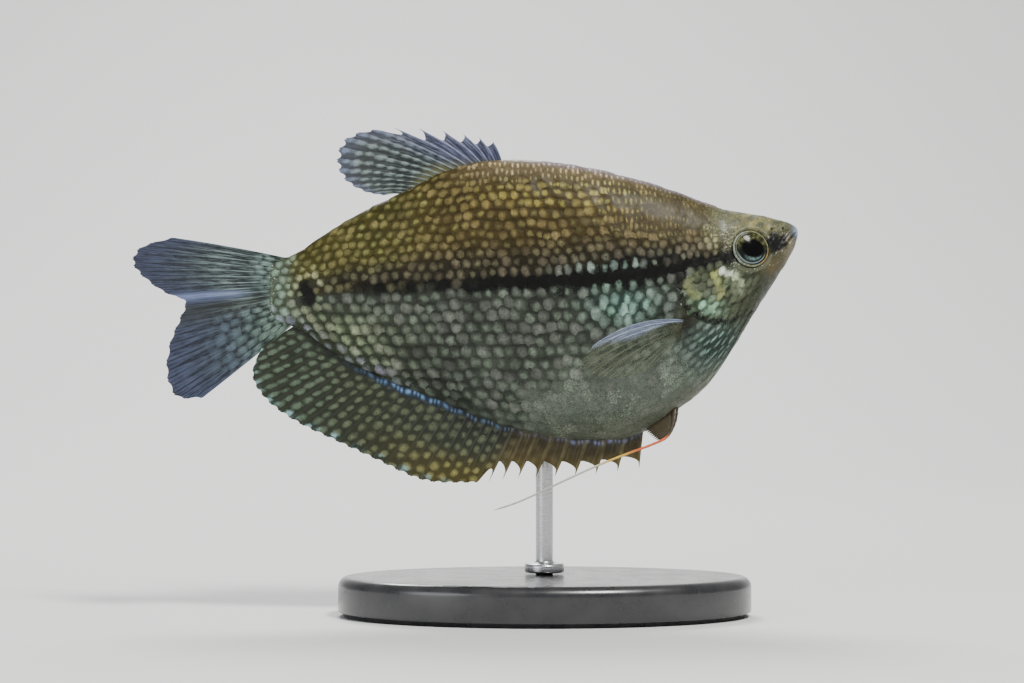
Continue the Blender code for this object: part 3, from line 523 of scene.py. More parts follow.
class Nodes:
    """A material's node tree with a Principled shader, and short ways to add nodes to it."""

    def __init__(self, name, **values):
        self.material = bpy.data.materials.new(name)
        self.material.use_nodes = True
        self.tree = self.material.node_tree
        self.shader = self.tree.nodes["Principled BSDF"]
        for key, value in values.items():
            self.shader.inputs[key.replace("_", " ")].default_value = value

    def put(self, sockets, key, value):
        """Links or sets the input of this name, or of this number where the name is _ and a number."""
        socket = sockets[int(key[1:])] if key[0] == "_" else sockets[key.replace("_", " ")]
        if isinstance(value, Value):
            self.tree.links.new(value.socket, socket)
        else:
            socket.default_value = value

    def add(self, kind, out=0, **values):
        """A node's output, or all of them. Names that begin small are settings, the others are inputs."""
        node = self.tree.nodes.new("ShaderNode" + kind)
        for key, value in values.items():
            if key[0].islower():
                setattr(node, key, value)
            else:
                self.put(node.inputs, key, value)
        if out is None:
            return [Value(self, socket) for socket in node.outputs]
        return Value(self, node.outputs[out])

    def finished(self, **inputs):
        """The material, with these inputs of its shader."""
        for key, value in inputs.items():
            self.put(self.shader.inputs, key, value)
        return self.material

    def math(self, operation, a, b=0.0):
        return self.add("Math", operation=operation, _0=a, _1=b)

    def larger(self, a, b):
        return self.math("MAXIMUM", a, b)

    def length(self, x, y):
        return self.add("VectorMath", out=1, operation="LENGTH", _0=self.join(x, y))

    def mix(self, share, a, b, kind="MIX"):
        return self.add("Mix", out=2, data_type="RGBA", blend_type=kind, _0=share, _6=a, _7=b)

    def times(self, colour, by):
        """The colour times a value."""
        return self.mix(1.0, colour, self.join(by, by, by), "MULTIPLY")

    def darker(self, colour, share):
        return self.mix(share, colour, (0, 0, 0, 1))

    def smooth(self, value, low, high, to_low=0.0, to_high=1.0):
        return self.add("MapRange", interpolation_type="SMOOTHSTEP",
                        Value=value, From_Min=low, From_Max=high,
                        To_Min=to_low, To_Max=to_high)

    def noise(self, vector, scale, detail=3.0, out=0, **more):
        return self.add("TexNoise", out=out, Vector=vector, Scale=scale, Detail=detail, **more)

    def attribute(self, name, out=1):
        return self.add("Attribute", out=out, attribute_name=name)

    def colours(self):
        """The ground's and the spots' colours, the spots' strength and the ground's alpha."""
        return [self.attribute(*a) for a in (("Ground", 0), ("Spot", 0), ("Spot", 3), ("Ground", 3))]

    def place(self):
        """Object coordinates in millimetres."""
        return self.add("VectorMath", operation="SCALE", _0=self.add("TexCoord", out=3), Scale=1 / MM)

    def split(self, vector):
        return self.add("SeparateXYZ", out=None, _0=vector)

    def join(self, x, y, z=0.0):
        return self.add("CombineXYZ", X=x, Y=y, Z=z)

    def bump(self, height, distance, strength=1.0, normal=None):
        """A bump, in millimetres, on top of another one where normal is given."""
        more = {"Normal": normal} if normal else {}
        return self.add("Bump", Height=height, Distance=distance * MM, Strength=strength, **more)


def skin_finish():
    """Bare skin: mottled with metallic flecks and dark specks, over a faint pebbled relief."""
    n = Nodes("skin_finish", Roughness=0.42, Specular_IOR_Level=0.25, Coat_Weight=0.08, Coat_Roughness=0.2)
    at = n.place()
    ground, spot, strength = n.colours()[:3]
    warp = n.add("VectorMath", operation="MULTIPLY_ADD", _0=n.noise(at, 1.6, out=1), _1=(0.5, 0.5, 0.5),
                 _2=at)
    # Pebbles, flecks, dark dots and a few bright glints
    cell = n.add("TexVoronoi", Vector=warp, Scale=1.7, Randomness=0.9)
    blob = n.smooth(cell, 0.6, 0.15)
    mottle = n.noise(at, 1.9, 5.0, Roughness=0.7)
    share = blob * strength * n.smooth(mottle, 0.4, 0.62, 0.0, 0.85)
    colour = n.mix(share, ground, spot)
    fleck = n.smooth(n.noise(at, 3.6, 4.0, Roughness=0.7), 0.53, 0.66)
    colour = n.mix(fleck * strength * 0.75, colour, spot)
    dots = n.smooth(n.noise(at, 5.2, 3.0, Roughness=0.6), 0.54, 0.66)
    colour = n.mix(dots * 0.68, colour, n.darker(colour, 0.8))
    glint = n.smooth(n.add("TexVoronoi", Vector=warp, Scale=2.0, Randomness=1.0), 0.22, 0.12)
    colour = n.mix(glint * strength * 0.8, colour, n.mix(0.5, spot, (0.8, 0.86, 0.78, 1)))
    fine = n.bump(n.noise(at, 7.0, 4.0), 0.06, 0.6)
    return n.finished(Base_Color=colour, Roughness=n.smooth(mottle, 0.3, 0.7, 0.3, 0.55),
                      Normal=n.bump(blob, 0.07, 0.8, fine))


def scale_finish():
    """A scale: a dark olive plate with a pearly spot, which has a painted highlight at its middle and
    painted glints in bright upright strokes, or with pale granules where the spots are weak. Place holds its
    own coordinates, where 1 is half way to the next scale, and the spot's radius. The alpha of Ground is the
    share of the fine upright dashes."""
    n = Nodes("scale_finish", Roughness=0.42, Specular_IOR_Level=0.14, Coat_Weight=0.04, Coat_Roughness=0.25)
    at = n.place()
    ground, spot, strength, dash = n.colours()
    own = n.split(n.attribute("Place"))
    grain = n.noise(at, 4.6, 3.0, Roughness=0.6)
    # The spot's edge wanders, and where the dashes are there are two of them side by side
    jitter = 1.2 * n.noise(at, 1.3, 2.0) + 0.7 * grain - 0.95
    pair = (abs(own[0]) - 0.5) * 2.1
    beside = n.add("Mix", data_type="FLOAT", _0=dash, _2=own[0], _3=pair)
    height = own[1] * (1.0 - 0.32 * dash)
    away = n.math("SQRT", n.math("POWER", beside, 2.0) + n.math("POWER", height, 2.0))
    away = (away + jitter) / own[2]
    pearl = n.smooth(away, 1.42, 0.38)
    heart = n.smooth(away, 0.85, 0.1)
    share = pearl * strength * n.smooth(grain, 0.25, 0.6, 0.7, 1.0)
    colour = n.mix(share, ground, spot)
    # A painted highlight at the middle of each spot
    lit = n.mix(1.0, spot, (1.24, 1.24, 1.22, 1), "MULTIPLY")
    spot_highlight = heart * n.smooth(n.noise(at, 2.2, 3.0), 0.34, 0.6)
    colour = n.mix(spot_highlight * strength, colour, lit)
    # Pale granules where the spots are weak, and mottling all over
    mottle = n.noise(at, 2.6, 4.0, Roughness=0.7)
    granules = n.smooth(grain, 0.44, 0.6) * (0.75 - 0.75 * strength)
    pale = n.mix(n.larger(n.smooth(mottle, 0.54, 0.74) * 0.28, granules), colour, spot)
    colour = n.mix(n.smooth(mottle, 0.5, 0.3) * 0.65, pale, ground)
    # Painted glints: bright upright strokes over the spots
    x, y, z = n.split(at)
    glint_strokes = n.noise(n.join(x * 1.7, y, z * 0.55), 1.0, 3.0)
    colour = n.mix(n.smooth(glint_strokes, 0.52, 0.64) * share * 0.7, colour, lit)
    # The dark rim, dark specks, growth rings and a slow change of tone
    edge = n.smooth(n.larger(abs(own[1]), own[0]), 0.78, 1.05)
    rim = edge * strength * (0.25 - 0.25 * dash)
    colour = n.mix(rim, colour, n.darker(ground, 0.7))
    specks = n.smooth(n.noise(at, 8.0, 2.0), 0.58, 0.7)
    colour = n.mix(specks * 0.35, colour, n.darker(ground, 0.8))
    rings = n.add("TexWave", out=1, wave_type="RINGS", rings_direction="Z", Vector=n.join(own[0], own[1]),
                  Scale=3.2, Distortion=0.6, Detail=1.0)
    fine = n.bump(rings, 0.01, 0.3)
    tone = n.smooth(n.noise(at, 1.9, 5.0, Roughness=0.75), 0.3, 0.7, 0.8, 1.22)
    colour = n.times(colour, tone)
    matt = edge * (0.3 - 0.3 * dash)
    return n.finished(Base_Color=colour, Roughness=n.smooth(grain, 0.3, 0.7, 0.4, 0.58) + matt,
                      Normal=n.bump(pearl, 0.04, 0.5, fine))


def fin_finish(name, pitch, on_rays=False, fork=0.2, split=0.55, fork2=0.0, split2=0.8, width=0.13,
               darken=0.5, jitter=0.5, firm=0.85):
    """A rayed membrane. Fin holds the ray's number, the millimetres along it and the share of its length,
    and Mark the spots' half width and half length as shares of their cells, and how pale the rays are. The
    colours hold the membrane's own and how solid it is, and the spots' and how strong they are."""
    n = Nodes(name, Roughness=0.42, Specular_IOR_Level=0.25, Coat_Weight=0.06, Coat_Roughness=0.2)
    at = n.place()
    u, v, way = n.split(n.attribute("Fin"))
    across, length, pale = n.split(n.attribute("Mark"))
    ground, spot, strength, clear = n.colours()
    # Spots in cells: a column between two rays or on one, and a row along it
    shifted = u + 0.5 if on_rays else u
    column = n.math("FLOOR", shifted)
    odd = n.math("FRACT", column * 0.5)
    wander = n.add("TexWhiteNoise", out=0, noise_dimensions="1D", W=column)
    rise = v * (1 / pitch) + odd + wander * 0.35
    row = n.math("FLOOR", rise)
    seed = n.split(n.add("TexWhiteNoise", out=1, noise_dimensions="2D", Vector=n.join(column, row)))
    du = n.math("FRACT", shifted) - (seed[0] * (0.3 * jitter) + (0.5 - 0.15 * jitter))
    dv = n.math("FRACT", rise) - (seed[1] * (0.4 * jitter) + (0.5 - 0.2 * jitter))
    far = n.length(du / across, dv / length)
    grain = n.noise(at, 4.0, 3.0, Roughness=0.6)
    far = (far + 1.2 * n.noise(at, 1.5, 2.0) + 0.7 * grain - 0.95) * (0.4 * seed[2] + 0.8)
    blob = n.smooth(far, 1.2, 0.45)
    # The rays, forking once or twice, pale and streaked over a darker membrane
    beside = abs(u - n.math("ROUND", u))
    beside = abs(beside - n.smooth(way, split, 1.0, 0.0, fork))
    if fork2:
        beside = abs(beside - n.smooth(way, split2, 1.0, 0.0, fork2))
    ray = n.smooth(beside, width, 0.35 * width)
    streak = n.noise(n.join(u * 2.2, v * 0.45), 1.0, 4.0, Roughness=0.65)
    gloss = ray * pale * n.smooth(streak, 0.36, 0.62, 0.25, 1.0)
    valley = (1.0 - ray) * darken
    base = n.mix(valley * n.smooth(streak, 0.3, 0.6, 1.0, 0.6), ground, n.darker(ground, 0.75))
    glossy = n.mix(0.75, ground, n.times(spot, 1.15))
    base = n.mix(gloss, base, glossy)
    threads = n.noise(n.join(u * 5.5, v * 0.3), 1.0, 3.0, Roughness=0.6)
    base = n.mix(n.smooth(threads, 0.46, 0.64) * pale * 0.5, base, glossy)
    # The spots over them
    share = blob * strength * n.smooth(grain, 0.25, 0.6, 0.6, 1.0)
    shade = 0.5 * seed[0] + 0.7
    colour = n.mix(share, base, n.times(spot, shade))
    # A painted highlight at the middle of each spot
    spot_highlight = n.smooth(far, 0.75, 0.0) * n.smooth(grain, 0.38, 0.58)
    colour = n.mix(spot_highlight * strength * 0.8, colour, n.times(spot, 1.55))
    solid = n.larger(clear, n.larger(share * 0.95, ray * firm))
    rough = n.smooth(grain, 0.3, 0.7, 0.3, 0.5)
    joints = n.add("TexWave", out=1, bands_direction="Y", Vector=n.join(0.0, v), Scale=0.9)
    normal = n.bump(joints * ray, 0.04, 0.5, n.bump(streak, 0.05, 0.5))
    return n.finished(Base_Color=colour, Roughness=rough, Alpha=solid, Normal=normal)


def eye_finish():
    """The eye: a wide black pupil, an iris dark olive above and silver below, and a thin pale ring. Eye
    holds a point's place across the eye, from -1 to 1 towards the snout and up."""
    n = Nodes("eye_finish", Roughness=0.14, Specular_IOR_Level=0.12, Coat_Weight=0.05, Coat_Roughness=0.04,
              IOR=1.38)
    x, y = n.split(n.attribute("Eye"))[:2]
    away = n.length(x, y)
    turn = n.math("ARCTAN2", y, x)
    swirl = n.noise(n.join(turn, away * 1.4), 3.4, 5.0, Roughness=0.65)
    grain = n.noise(n.join(x, y), 7.0, 4.0, Roughness=0.6)
    lens = n.length((x - 0.06) / 0.62, y / 0.47) + 0.16 * swirl - 0.08
    iris = n.mix(n.smooth(swirl, 0.42, 0.66), (0.02, 0.022, 0.01, 1), (0.11, 0.11, 0.045, 1))
    iris = n.mix(n.smooth(y, 0.35, -0.2), iris, (0.01, 0.011, 0.01, 1))
    # The silver moon under the pupil and the fine arc below it
    moon = n.smooth(lens, 1.0, 1.2) * n.smooth(y, -0.2, -0.42)
    moon = moon * n.smooth(away, 0.72, 0.64) * n.smooth(x, -0.5, -0.1)
    iris = n.mix(moon * n.smooth(grain, 0.42, 0.6, 0.25, 1.0), iris, (0.12, 0.2, 0.18, 1))
    arc = n.smooth(abs(away - 0.8), 0.045, 0.015) * n.smooth(y, -0.1, -0.55)
    iris = n.mix(arc * 0.6, iris, (0.22, 0.3, 0.3, 1))
    # The pale ring, amber in front and greenish behind
    low_front = n.smooth(x, 0.35, 0.75) * n.smooth(y, 0.25, -0.25)
    ring = n.mix(low_front, (0.24, 0.25, 0.15, 1), (0.36, 0.21, 0.05, 1))
    ring = n.mix(n.smooth(x, 0.1, -0.6), ring, (0.26, 0.3, 0.24, 1))
    ring = n.mix(n.smooth(grain, 0.42, 0.62, 0.0, 0.7), ring, (0.1, 0.1, 0.06, 1))
    edge = away + 0.03 * swirl - 0.015
    colour = n.mix(n.smooth(edge, 0.9, 0.92), iris, ring)
    inner = n.smooth(abs(edge - 0.85), 0.02, 0.006)
    colour = n.mix(inner * n.smooth(x, 0.2, -0.5, 0.0, 0.7), colour, ring)
    colour = n.mix(n.smooth(edge, 0.985, 1.0), colour, (0.03, 0.03, 0.02, 1))
    colour = n.mix(n.smooth(lens, 1.12, 0.88), colour, (0.003, 0.003, 0.003, 1))
    return n.finished(Base_Color=colour)


def feeler_finish():
    """Dark brown at the root, partly painted shade where the rays leave the belly, then orange red, yellow,
    and white to the tip. Fin holds the share of the way.
    """
    n = Nodes("feeler_finish", Roughness=0.4, Specular_IOR_Level=0.35, Coat_Weight=0.15)
    way = n.split(n.attribute("Fin"))[2]
    # The dark brown root, partly painted shade where the rays leave the belly
    colour = n.mix(n.smooth(way, 0.19, 0.25), (0.034, 0.027, 0.013, 1), (0.56, 0.09, 0.02, 1))
    colour = n.mix(n.smooth(way, 0.4, 0.52), colour, (0.62, 0.42, 0.07, 1))
    colour = n.mix(n.smooth(way, 0.56, 0.68), colour, (0.46, 0.48, 0.43, 1))
    at = n.place()
    colour = n.mix(n.smooth(n.noise(at, 4.0), 0.5, 0.7) * 0.3, colour, (0.16, 0.1, 0.045, 1))
    rings = n.add("TexWave", out=1, bands_direction="X", Vector=n.join(way * 60.0, 0.0), Scale=1.0,
                  Distortion=0.4)
    return n.finished(Base_Color=colour, Normal=n.bump(rings, 0.02, 0.4))


def base_finish():
    """Satin black lacquer with a faint grain."""
    n = Nodes("base_finish", Roughness=0.3, Coat_Weight=0.5, Coat_Roughness=0.18)
    at = n.place()
    wear = n.noise(at, 0.25, 5.0)
    grain = n.noise(at, 9.0, 3.0)
    colour = n.mix(n.smooth(wear, 0.35, 0.7), (0.016, 0.016, 0.018, 1), (0.028, 0.027, 0.028, 1))
    return n.finished(Base_Color=colour, Roughness=n.smooth(wear, 0.3, 0.7, 0.24, 0.38),
                      Normal=n.bump(grain, 0.02, 0.3))


def rod_finish():
    """Brushed steel, with fine lines round the rod."""
    n = Nodes("rod_finish", Metallic=1.0, Roughness=0.3, Anisotropic=0.5)
    at = n.place()
    x, y, z = n.split(at)
    lines = n.noise(n.join(x * 0.4, y * 0.4, z * 9.0), 1.0, 4.0)
    colour = n.mix(n.smooth(lines, 0.3, 0.7), (0.42, 0.42, 0.43, 1), (0.6, 0.6, 0.61, 1))
    return n.finished(Base_Color=colour, Roughness=n.smooth(lines, 0.3, 0.7, 0.22, 0.38),
                      Normal=n.bump(lines, 0.004, 0.2))


# Skin
def stations():
    """Where the skin's sections are: close together on the head, closest at the mouth."""
    fine = np.linspace(TAIL_END, SNOUT_TIP[0], 8000)
    places = [TAIL_END, -39, -37, 17, 22, 33, 35, SNOUT_TIP[0]]
    step = np.interp(fine, places, [0.12, 0.16, 0.32, 0.32, 0.17, 0.15, 0.07, 0.045])
    count = np.concatenate([[0], np.cumsum(np.diff(fine) / (0.5 * (step[1:] + step[:-1])))])
    return np.interp(np.linspace(0, count[-1], int(count[-1]) + 1), count, fine)


def relief(x, z, y):
    """How far the skin stands out of the body's plain shape at each point: the forms of the head."""
    rise = -SKIN_DEPTH * ramp(x + 0.35 * (stripe_level(x) - z), 23.0, 19.0)
    # The gill cover and the cheek plate, raised inside their edges and with a groove outside
    away, share, side = nearest(GILL_EDGE, x, z)
    fade = ramp(share, 0.2, 0.36) * ramp(share, 1.0, 0.8)
    rise = rise + fade * np.where(side > 0, 0.3 * ramp(away, 3.5, 0.0), -0.3 * bell(away, 0.32, 0.3))
    away, share, side = nearest(CHEEK_EDGE, x, z)
    fade = ramp(share, 0.1, 0.35) * ramp(share, 1.0, 0.7)
    rise = rise + fade * np.where(side > 0, 0.14 * ramp(away, 1.6, 0.0), -0.12 * bell(away, 0.15, 0.2))
    # The folds of the throat
    fold = np.array([(26.0, 43.2), (29.0, 44.1), (32.2, 47.3)])
    step = np.array([(1.1, -0.55), (1.0, 0.15), (0.5, 0.55)])
    for k in range(4):
        rise = rise - 0.07 * band(fold + k * step, x, z, 24, 0, 0.14, (0, 0.25), (0.7, 1))
    # The socket and the rim of skin round the eye
    out = np.hypot(x - EYE_X, z - EYE_Z) - EYE_RADIUS
    rise = rise + 0.24 * bell(out, 0.32, 0.3) - 1.5 * ramp(out, 0.02, -0.45)
    rise = rise - 0.1 * bell(out, 1.0, 0.35) * ramp(EYE_Z - z, -0.5, 1.5)
    # The mouth: a cleft between two lips, that fades at its corner into a fold of skin
    away, share, side = nearest(MOUTH, x, z)
    here = ramp(share, 0.0, 0.25)
    rise = rise + here * (0.16 * bell(away, 0.34, 0.2) - 0.26 * bell(away, 0.0, 0.1))
    rise = rise + 0.1 * here * (side < 0) * bell(away, 0.5, 0.35)
    mouth_fold = [(35.4, 54.8), (34.8, 53.9), (34.7, 52.9)]
    rise = rise - 0.12 * band(mouth_fold, x, z, 20, 0, 0.13, (-1, 0), (0.5, 1))
    lip_fold = [(36.9, 58.2), (35.9, 57.1), (35.0, 55.8), (34.6, 54.4)]
    rise = rise - 0.09 * band(lip_fold, x, z, 24, 0, 0.14, (0, 0.15), (0.75, 1))
    for nx, nz, radius in NOSTRILS:
        out = np.hypot(x - nx, z - nz)
        rise = rise + 0.1 * bell(out, radius, 0.13) - 0.4 * ramp(out, radius, 0.3 * radius)
    # Gentle swellings of the brow and the cheek muscle, and a faint unevenness all over
    rise = rise + 0.22 * oval(x, z, (30.4, 58.3), (2.6, 0.9)) + 0.18 * oval(x, z, (29.2, 49.6), (2.2, 1.6))
    return rise + 0.035 * wobble(x, z, 3.2, 8) + 0.02 * wobble(x, z + y, 1.3, 9)


def skin_frame(x, angle):
    """Points of the body's plain shape and its outward normals, on a grid of sections and angles."""
    points = ring_point(x[:, None], angle[None, :])
    normals = grid_normals(points, wrap=True)
    middle = pack(points[..., 0], 0, level(points[..., 0]))
    flip = np.sign(np.sum(normals * (points - middle), axis=-1, keepdims=True))
    normals = normals * np.where(flip == 0, 1, flip)
    return points, normals


def build_skin(finish):
    """The skin of the whole body, in place of five solids."""
    x = stations()
    angle = circle(SKIN_AROUND)
    points, normals = skin_frame(x, angle)
    rise = relief(points[..., 0], points[..., 2], points[..., 1])
    # Both ends keep the plain shape
    ends = ramp(x, TAIL_END, -40.4) * ramp(x, SNOUT_TIP[0], 37.55)
    points = points + normals * (rise * ends[:, None])[..., None]
    # The tail's end is drawn to a point, as the snout is
    points[0] = points[0].mean(axis=0)
    flat = points.reshape(-1, 3)
    ground, spot, strong = markings(flat[:, 0], flat[:, 2])
    colours = {"Ground": ground, "Spot": np.column_stack([spot, strong])}
    u, v = np.meshgrid(np.arange(SKIN_AROUND) / SKIN_AROUND, np.linspace(0, 1, len(x)))
    made = new_object("skin", flat, grid_faces(len(x), SKIN_AROUND, wrap=True), finish, colours,
                      uv=("OFBake", pack(u, v).reshape(-1, 2)), join=True)
    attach(made, "root")
    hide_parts("head", "trunk", "tail_stalk", "gill_cover_left", "gill_cover_right")


# Scales
def row_offset(row):
    """How far round the body a row lies from the stripe's, in steps that are wider below it."""
    return 1.46 * row if row <= 0 else 1.6 + 1.78 * (row - 1)


def scale_size(x):
    """The size of the scales along the body, as a share of the middle's."""
    return np.interp(x, [-41, -36, -28, -12, 12, 20, 27], [0.84, 0.88, 0.96, 1.0, 1.0, 0.84, 0.6])


def scale_places(side):
    """(x, angle round the section, length, width, five chances) of each scale on one side. The rows run
    along the body from the stripe's line up to the ridge and down to the belly, each half a step off its
    neighbours."""
    rng = np.random.default_rng(11 if side > 0 else 12)
    sample = np.linspace(SCALES_FROM, SCALES_TO, 371)
    angles = np.linspace(0.0, math.pi, 241)
    points = ring_point(sample[:, None], angles[None, :])
    steps = np.linalg.norm(np.diff(points[:, :, 1:], axis=1), axis=-1)
    girth = np.concatenate([np.zeros((len(sample), 1)), np.cumsum(steps, axis=1)], axis=1)
    line = np.array([np.interp(-stripe_level(a), -points[i, :, 2], girth[i]) for i, a in enumerate(sample)])
    found = []
    # The rows from the ridge to the stripe, and the rows of larger scales below it
    for rows, long, wide in ((range(-22, 1), 1.62, 1.5), (range(1, 24), 1.96, 1.8)):
        stops = [SCALES_TO]
        while stops[-1] > SCALES_FROM:
            stops.append(stops[-1] - long * scale_size(stops[-1]))
        stops = np.array(stops)
        for row in rows:
            here = 0.5 * (stops[1:] + stops[:-1]) if row % 2 else stops
            for x in here + rng.normal(0, 0.1, len(here)):
                if not SCALES_FROM < x < SCALES_TO - 1:
                    continue
                size = scale_size(x)
                i = min(int(np.searchsorted(sample, x)), len(sample) - 1)
                place = line[i] + row_offset(row) * size + rng.normal(0, 0.08)
                place += 0.3 * size * float(wobble(x, 1.6 * row, 8.0, 41))
                x += 0.3 * size * float(wobble(x, 1.6 * row, 7.0, 42))
                if 0.78 < place < girth[i, -1] - 0.3:
                    angle = float(np.interp(place, girth[i], angles))
                    found.append((x, angle, long * size, wide * size, *rng.random(5)))
    return np.array(found)


def scaled(x, z):
    """True where scales grow: on the body and the gill cover, not round the eye or on the face."""
    line = stripe_level(x)
    nape = x < 26.6 - 0.1 * (z - line)
    away, share, side = nearest(GILL_EDGE, x, z, 40)
    plate = (side > 0) & (z < 53.0) & (z > 44.6) & (x > 19.8)
    trunk = (x < 23.6) & ~plate & ((side <= 0) | (x < 20.0))
    breast = (z < 45.2) & (x < 31.0) & ((side <= 0) | (z < 43.0)) & (x > 21.0)
    clear = (away > 0.45) | (share < 0.2) | (share > 0.85)
    off_eye = np.hypot(x - EYE_X, z - EYE_Z) > EYE_RADIUS + 1.1
    cheek = plate & clear & (x - 0.55 * (57 - z) < 30.0) & off_eye
    ragged = x > -40.1 + 0.9 * wobble(x, z, 2.4, 13)
    return np.where(z > line + 0.3, nape, trunk | breast | cheek) & ragged


# A plate's cells each way, its length and width as shares of the step to the next, and its thickness
SCALE_CELLS, PLATE_LENGTH, PLATE_WIDTH, PLATE_THICKNESS = 7, 1.62, 1.42, 0.08


def unit_scale():
    """(along its length, across its width, faces, rim) of a scale: a rounded grid with a skirt and floor."""
    n = SCALE_CELLS + 1
    a, b = np.meshgrid(np.linspace(-1, 1, n), np.linspace(-1, 1, n), indexing="ij")
    p, q = a * np.sqrt(1 - b * b / 2.3), b * np.sqrt(1 - a * a / 2.3)
    rim = [i * n for i in range(n)] + [(n - 1) * n + j for j in range(1, n)]
    rim += [i * n + n - 1 for i in range(n - 2, -1, -1)] + [j for j in range(n - 2, 0, -1)]
    rim = np.array(rim)
    low = n * n + np.arange(len(rim))
    skirt = pack(rim, low, np.roll(low, -1), np.roll(rim, -1))
    floor = [(low[k - 1], low[len(rim) - k], low[len(rim) - k - 1], low[k]) for k in range(1, len(rim) // 2)]
    return p.ravel(), q.ravel(), np.vstack([grid_faces(n, n), skirt, np.array(floor)]), rim


def build_scales(side, finish):
    """One side's scales as thin, closed, domed plates with raised rear edges, joined into one mesh."""
    p, q, unit, rim = unit_scale()
    places = scale_places(side)
    centre = ring_point(places[:, 0], places[:, 1])
    places = places[scaled(centre[:, 0], centre[:, 2])]
    x, angle, long, wide = (places[:, i, None] for i in range(4))
    chance = places[:, 4:]
    length, width = long * PLATE_LENGTH, wide * PLATE_WIDTH
    reach = np.clip(x - p * length / 2 - 0.28 * long, -41.25, 37.9)
    speed = np.linalg.norm(ring_point(x, angle + 0.01) - ring_point(x, angle - 0.01), axis=-1) / 0.02
    wanted = angle + q * (width / 2) / np.maximum(speed, 0.05)
    turn = np.clip(wanted, 0.0, math.pi)
    base = ring_point(reach, turn)
    fore = ring_point(reach + 0.05, turn) - ring_point(reach - 0.05, turn)
    over = ring_point(reach, np.minimum(turn + 0.01, math.pi))
    over = over - ring_point(reach, np.maximum(turn - 0.01, 0))
    out = np.cross(fore, over)
    out /= np.maximum(np.linalg.norm(out, axis=-1, keepdims=True), 1e-9)
    out *= np.where(out[..., 1:2] < 0, -1, 1)
    # Each plate rises from its front to its rear edge, less on the belly and the nape
    lift = -0.1 + 0.05 * (p + 1) * (0.85 + 0.3 * chance[:, 0:1]) - 0.02 * q * q
    lift = lift * np.interp(x, [-41, -38, 17, 24], [0.75, 1.0, 1.0, 0.8])
    line = stripe_level(x)
    down = (line - ring_point(x, angle)[..., 2]) / np.maximum(line - belly(x), 0.5)
    lift = lift * (1 - 0.8 * ramp(down, 0.36, 0.66) * ramp(x, -14, 0))
    lift = lift * (1 - 0.55 * ramp(-down, 0.12, 0.4) * ramp(x, -2, 10))
    lift = lift + relief(base[..., 0], base[..., 2], base[..., 1]) + SKIN_DEPTH
    surface = base + out * lift[..., None]
    surface[..., 1] -= abs(wanted - turn) * speed
    under = surface[:, rim] - out[:, rim] * PLATE_THICKNESS
    points = np.concatenate([surface, under], axis=1)
    points[..., 1] *= side

    # The ground follows the body's markings, and each spot has one colour
    ground = markings(base[..., 0], base[..., 2])[0]
    middle_x = x[:, 0] - 0.6 * long[:, 0]
    middle_z = ring_point(middle_x, angle[:, 0])[:, 2]
    spot, strong = markings(middle_x, middle_z)[1:]
    strong = np.clip(strong * (1.25 - 0.5 * chance[:, 1]), 0, 1)
    hue = 1 + (chance[:, 2:3] - 0.5) * np.array([0.11, -0.05, 0.1])
    spot = spot * (0.64 + 0.72 * chance[:, 1:2]) * hue
    radius, tall, dash = spot_form(middle_x, middle_z)
    radius = radius * (0.74 + 0.5 * chance[:, 2])
    ground = ground * (0.88 + 0.24 * chance[:, 3:4, None])
    along = (p - 0.42) * PLATE_LENGTH + 0.56 * (chance[:, 4:5] - 0.5)
    beside = (q * PLATE_WIDTH + 0.5 * (chance[:, 3:4] - 0.5)) / tall[:, None]
    own = pack(along, beside, radius[:, None])
    ground = np.concatenate([ground, np.broadcast_to(dash[:, None, None], ground.shape[:2] + (1,))], axis=-1)
    spots = np.broadcast_to(np.column_stack([spot, strong])[:, None], ground.shape)
    u = np.where(side > 0, angle, 2 * math.pi - angle) / (2 * math.pi) + 0.0015 * q
    xs = stations()
    v = np.interp(x, xs, np.linspace(0, 1, len(xs))) + 0.0015 * p

    def whole(values):
        """The values of the plate's top and, again, of its rim's lower edge."""
        return np.concatenate([values, values[:, rim]], axis=1).reshape(-1, values.shape[-1])

    first = np.arange(len(places))[:, None, None] * (len(p) + len(rim))
    faces = (unit + first).reshape(-1, 4)[:, ::-side]
    made = new_object(f"scales_{SIDES[side]}", points.reshape(-1, 3), faces, finish,
                      {"Ground": whole(ground), "Spot": whole(spots)},
                      {"Place": whole(own)}, ("OFBake", whole(pack(u, v))))
    made.data.set_sharp_from_angle(angle=math.radians(50))
    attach(made, "root")


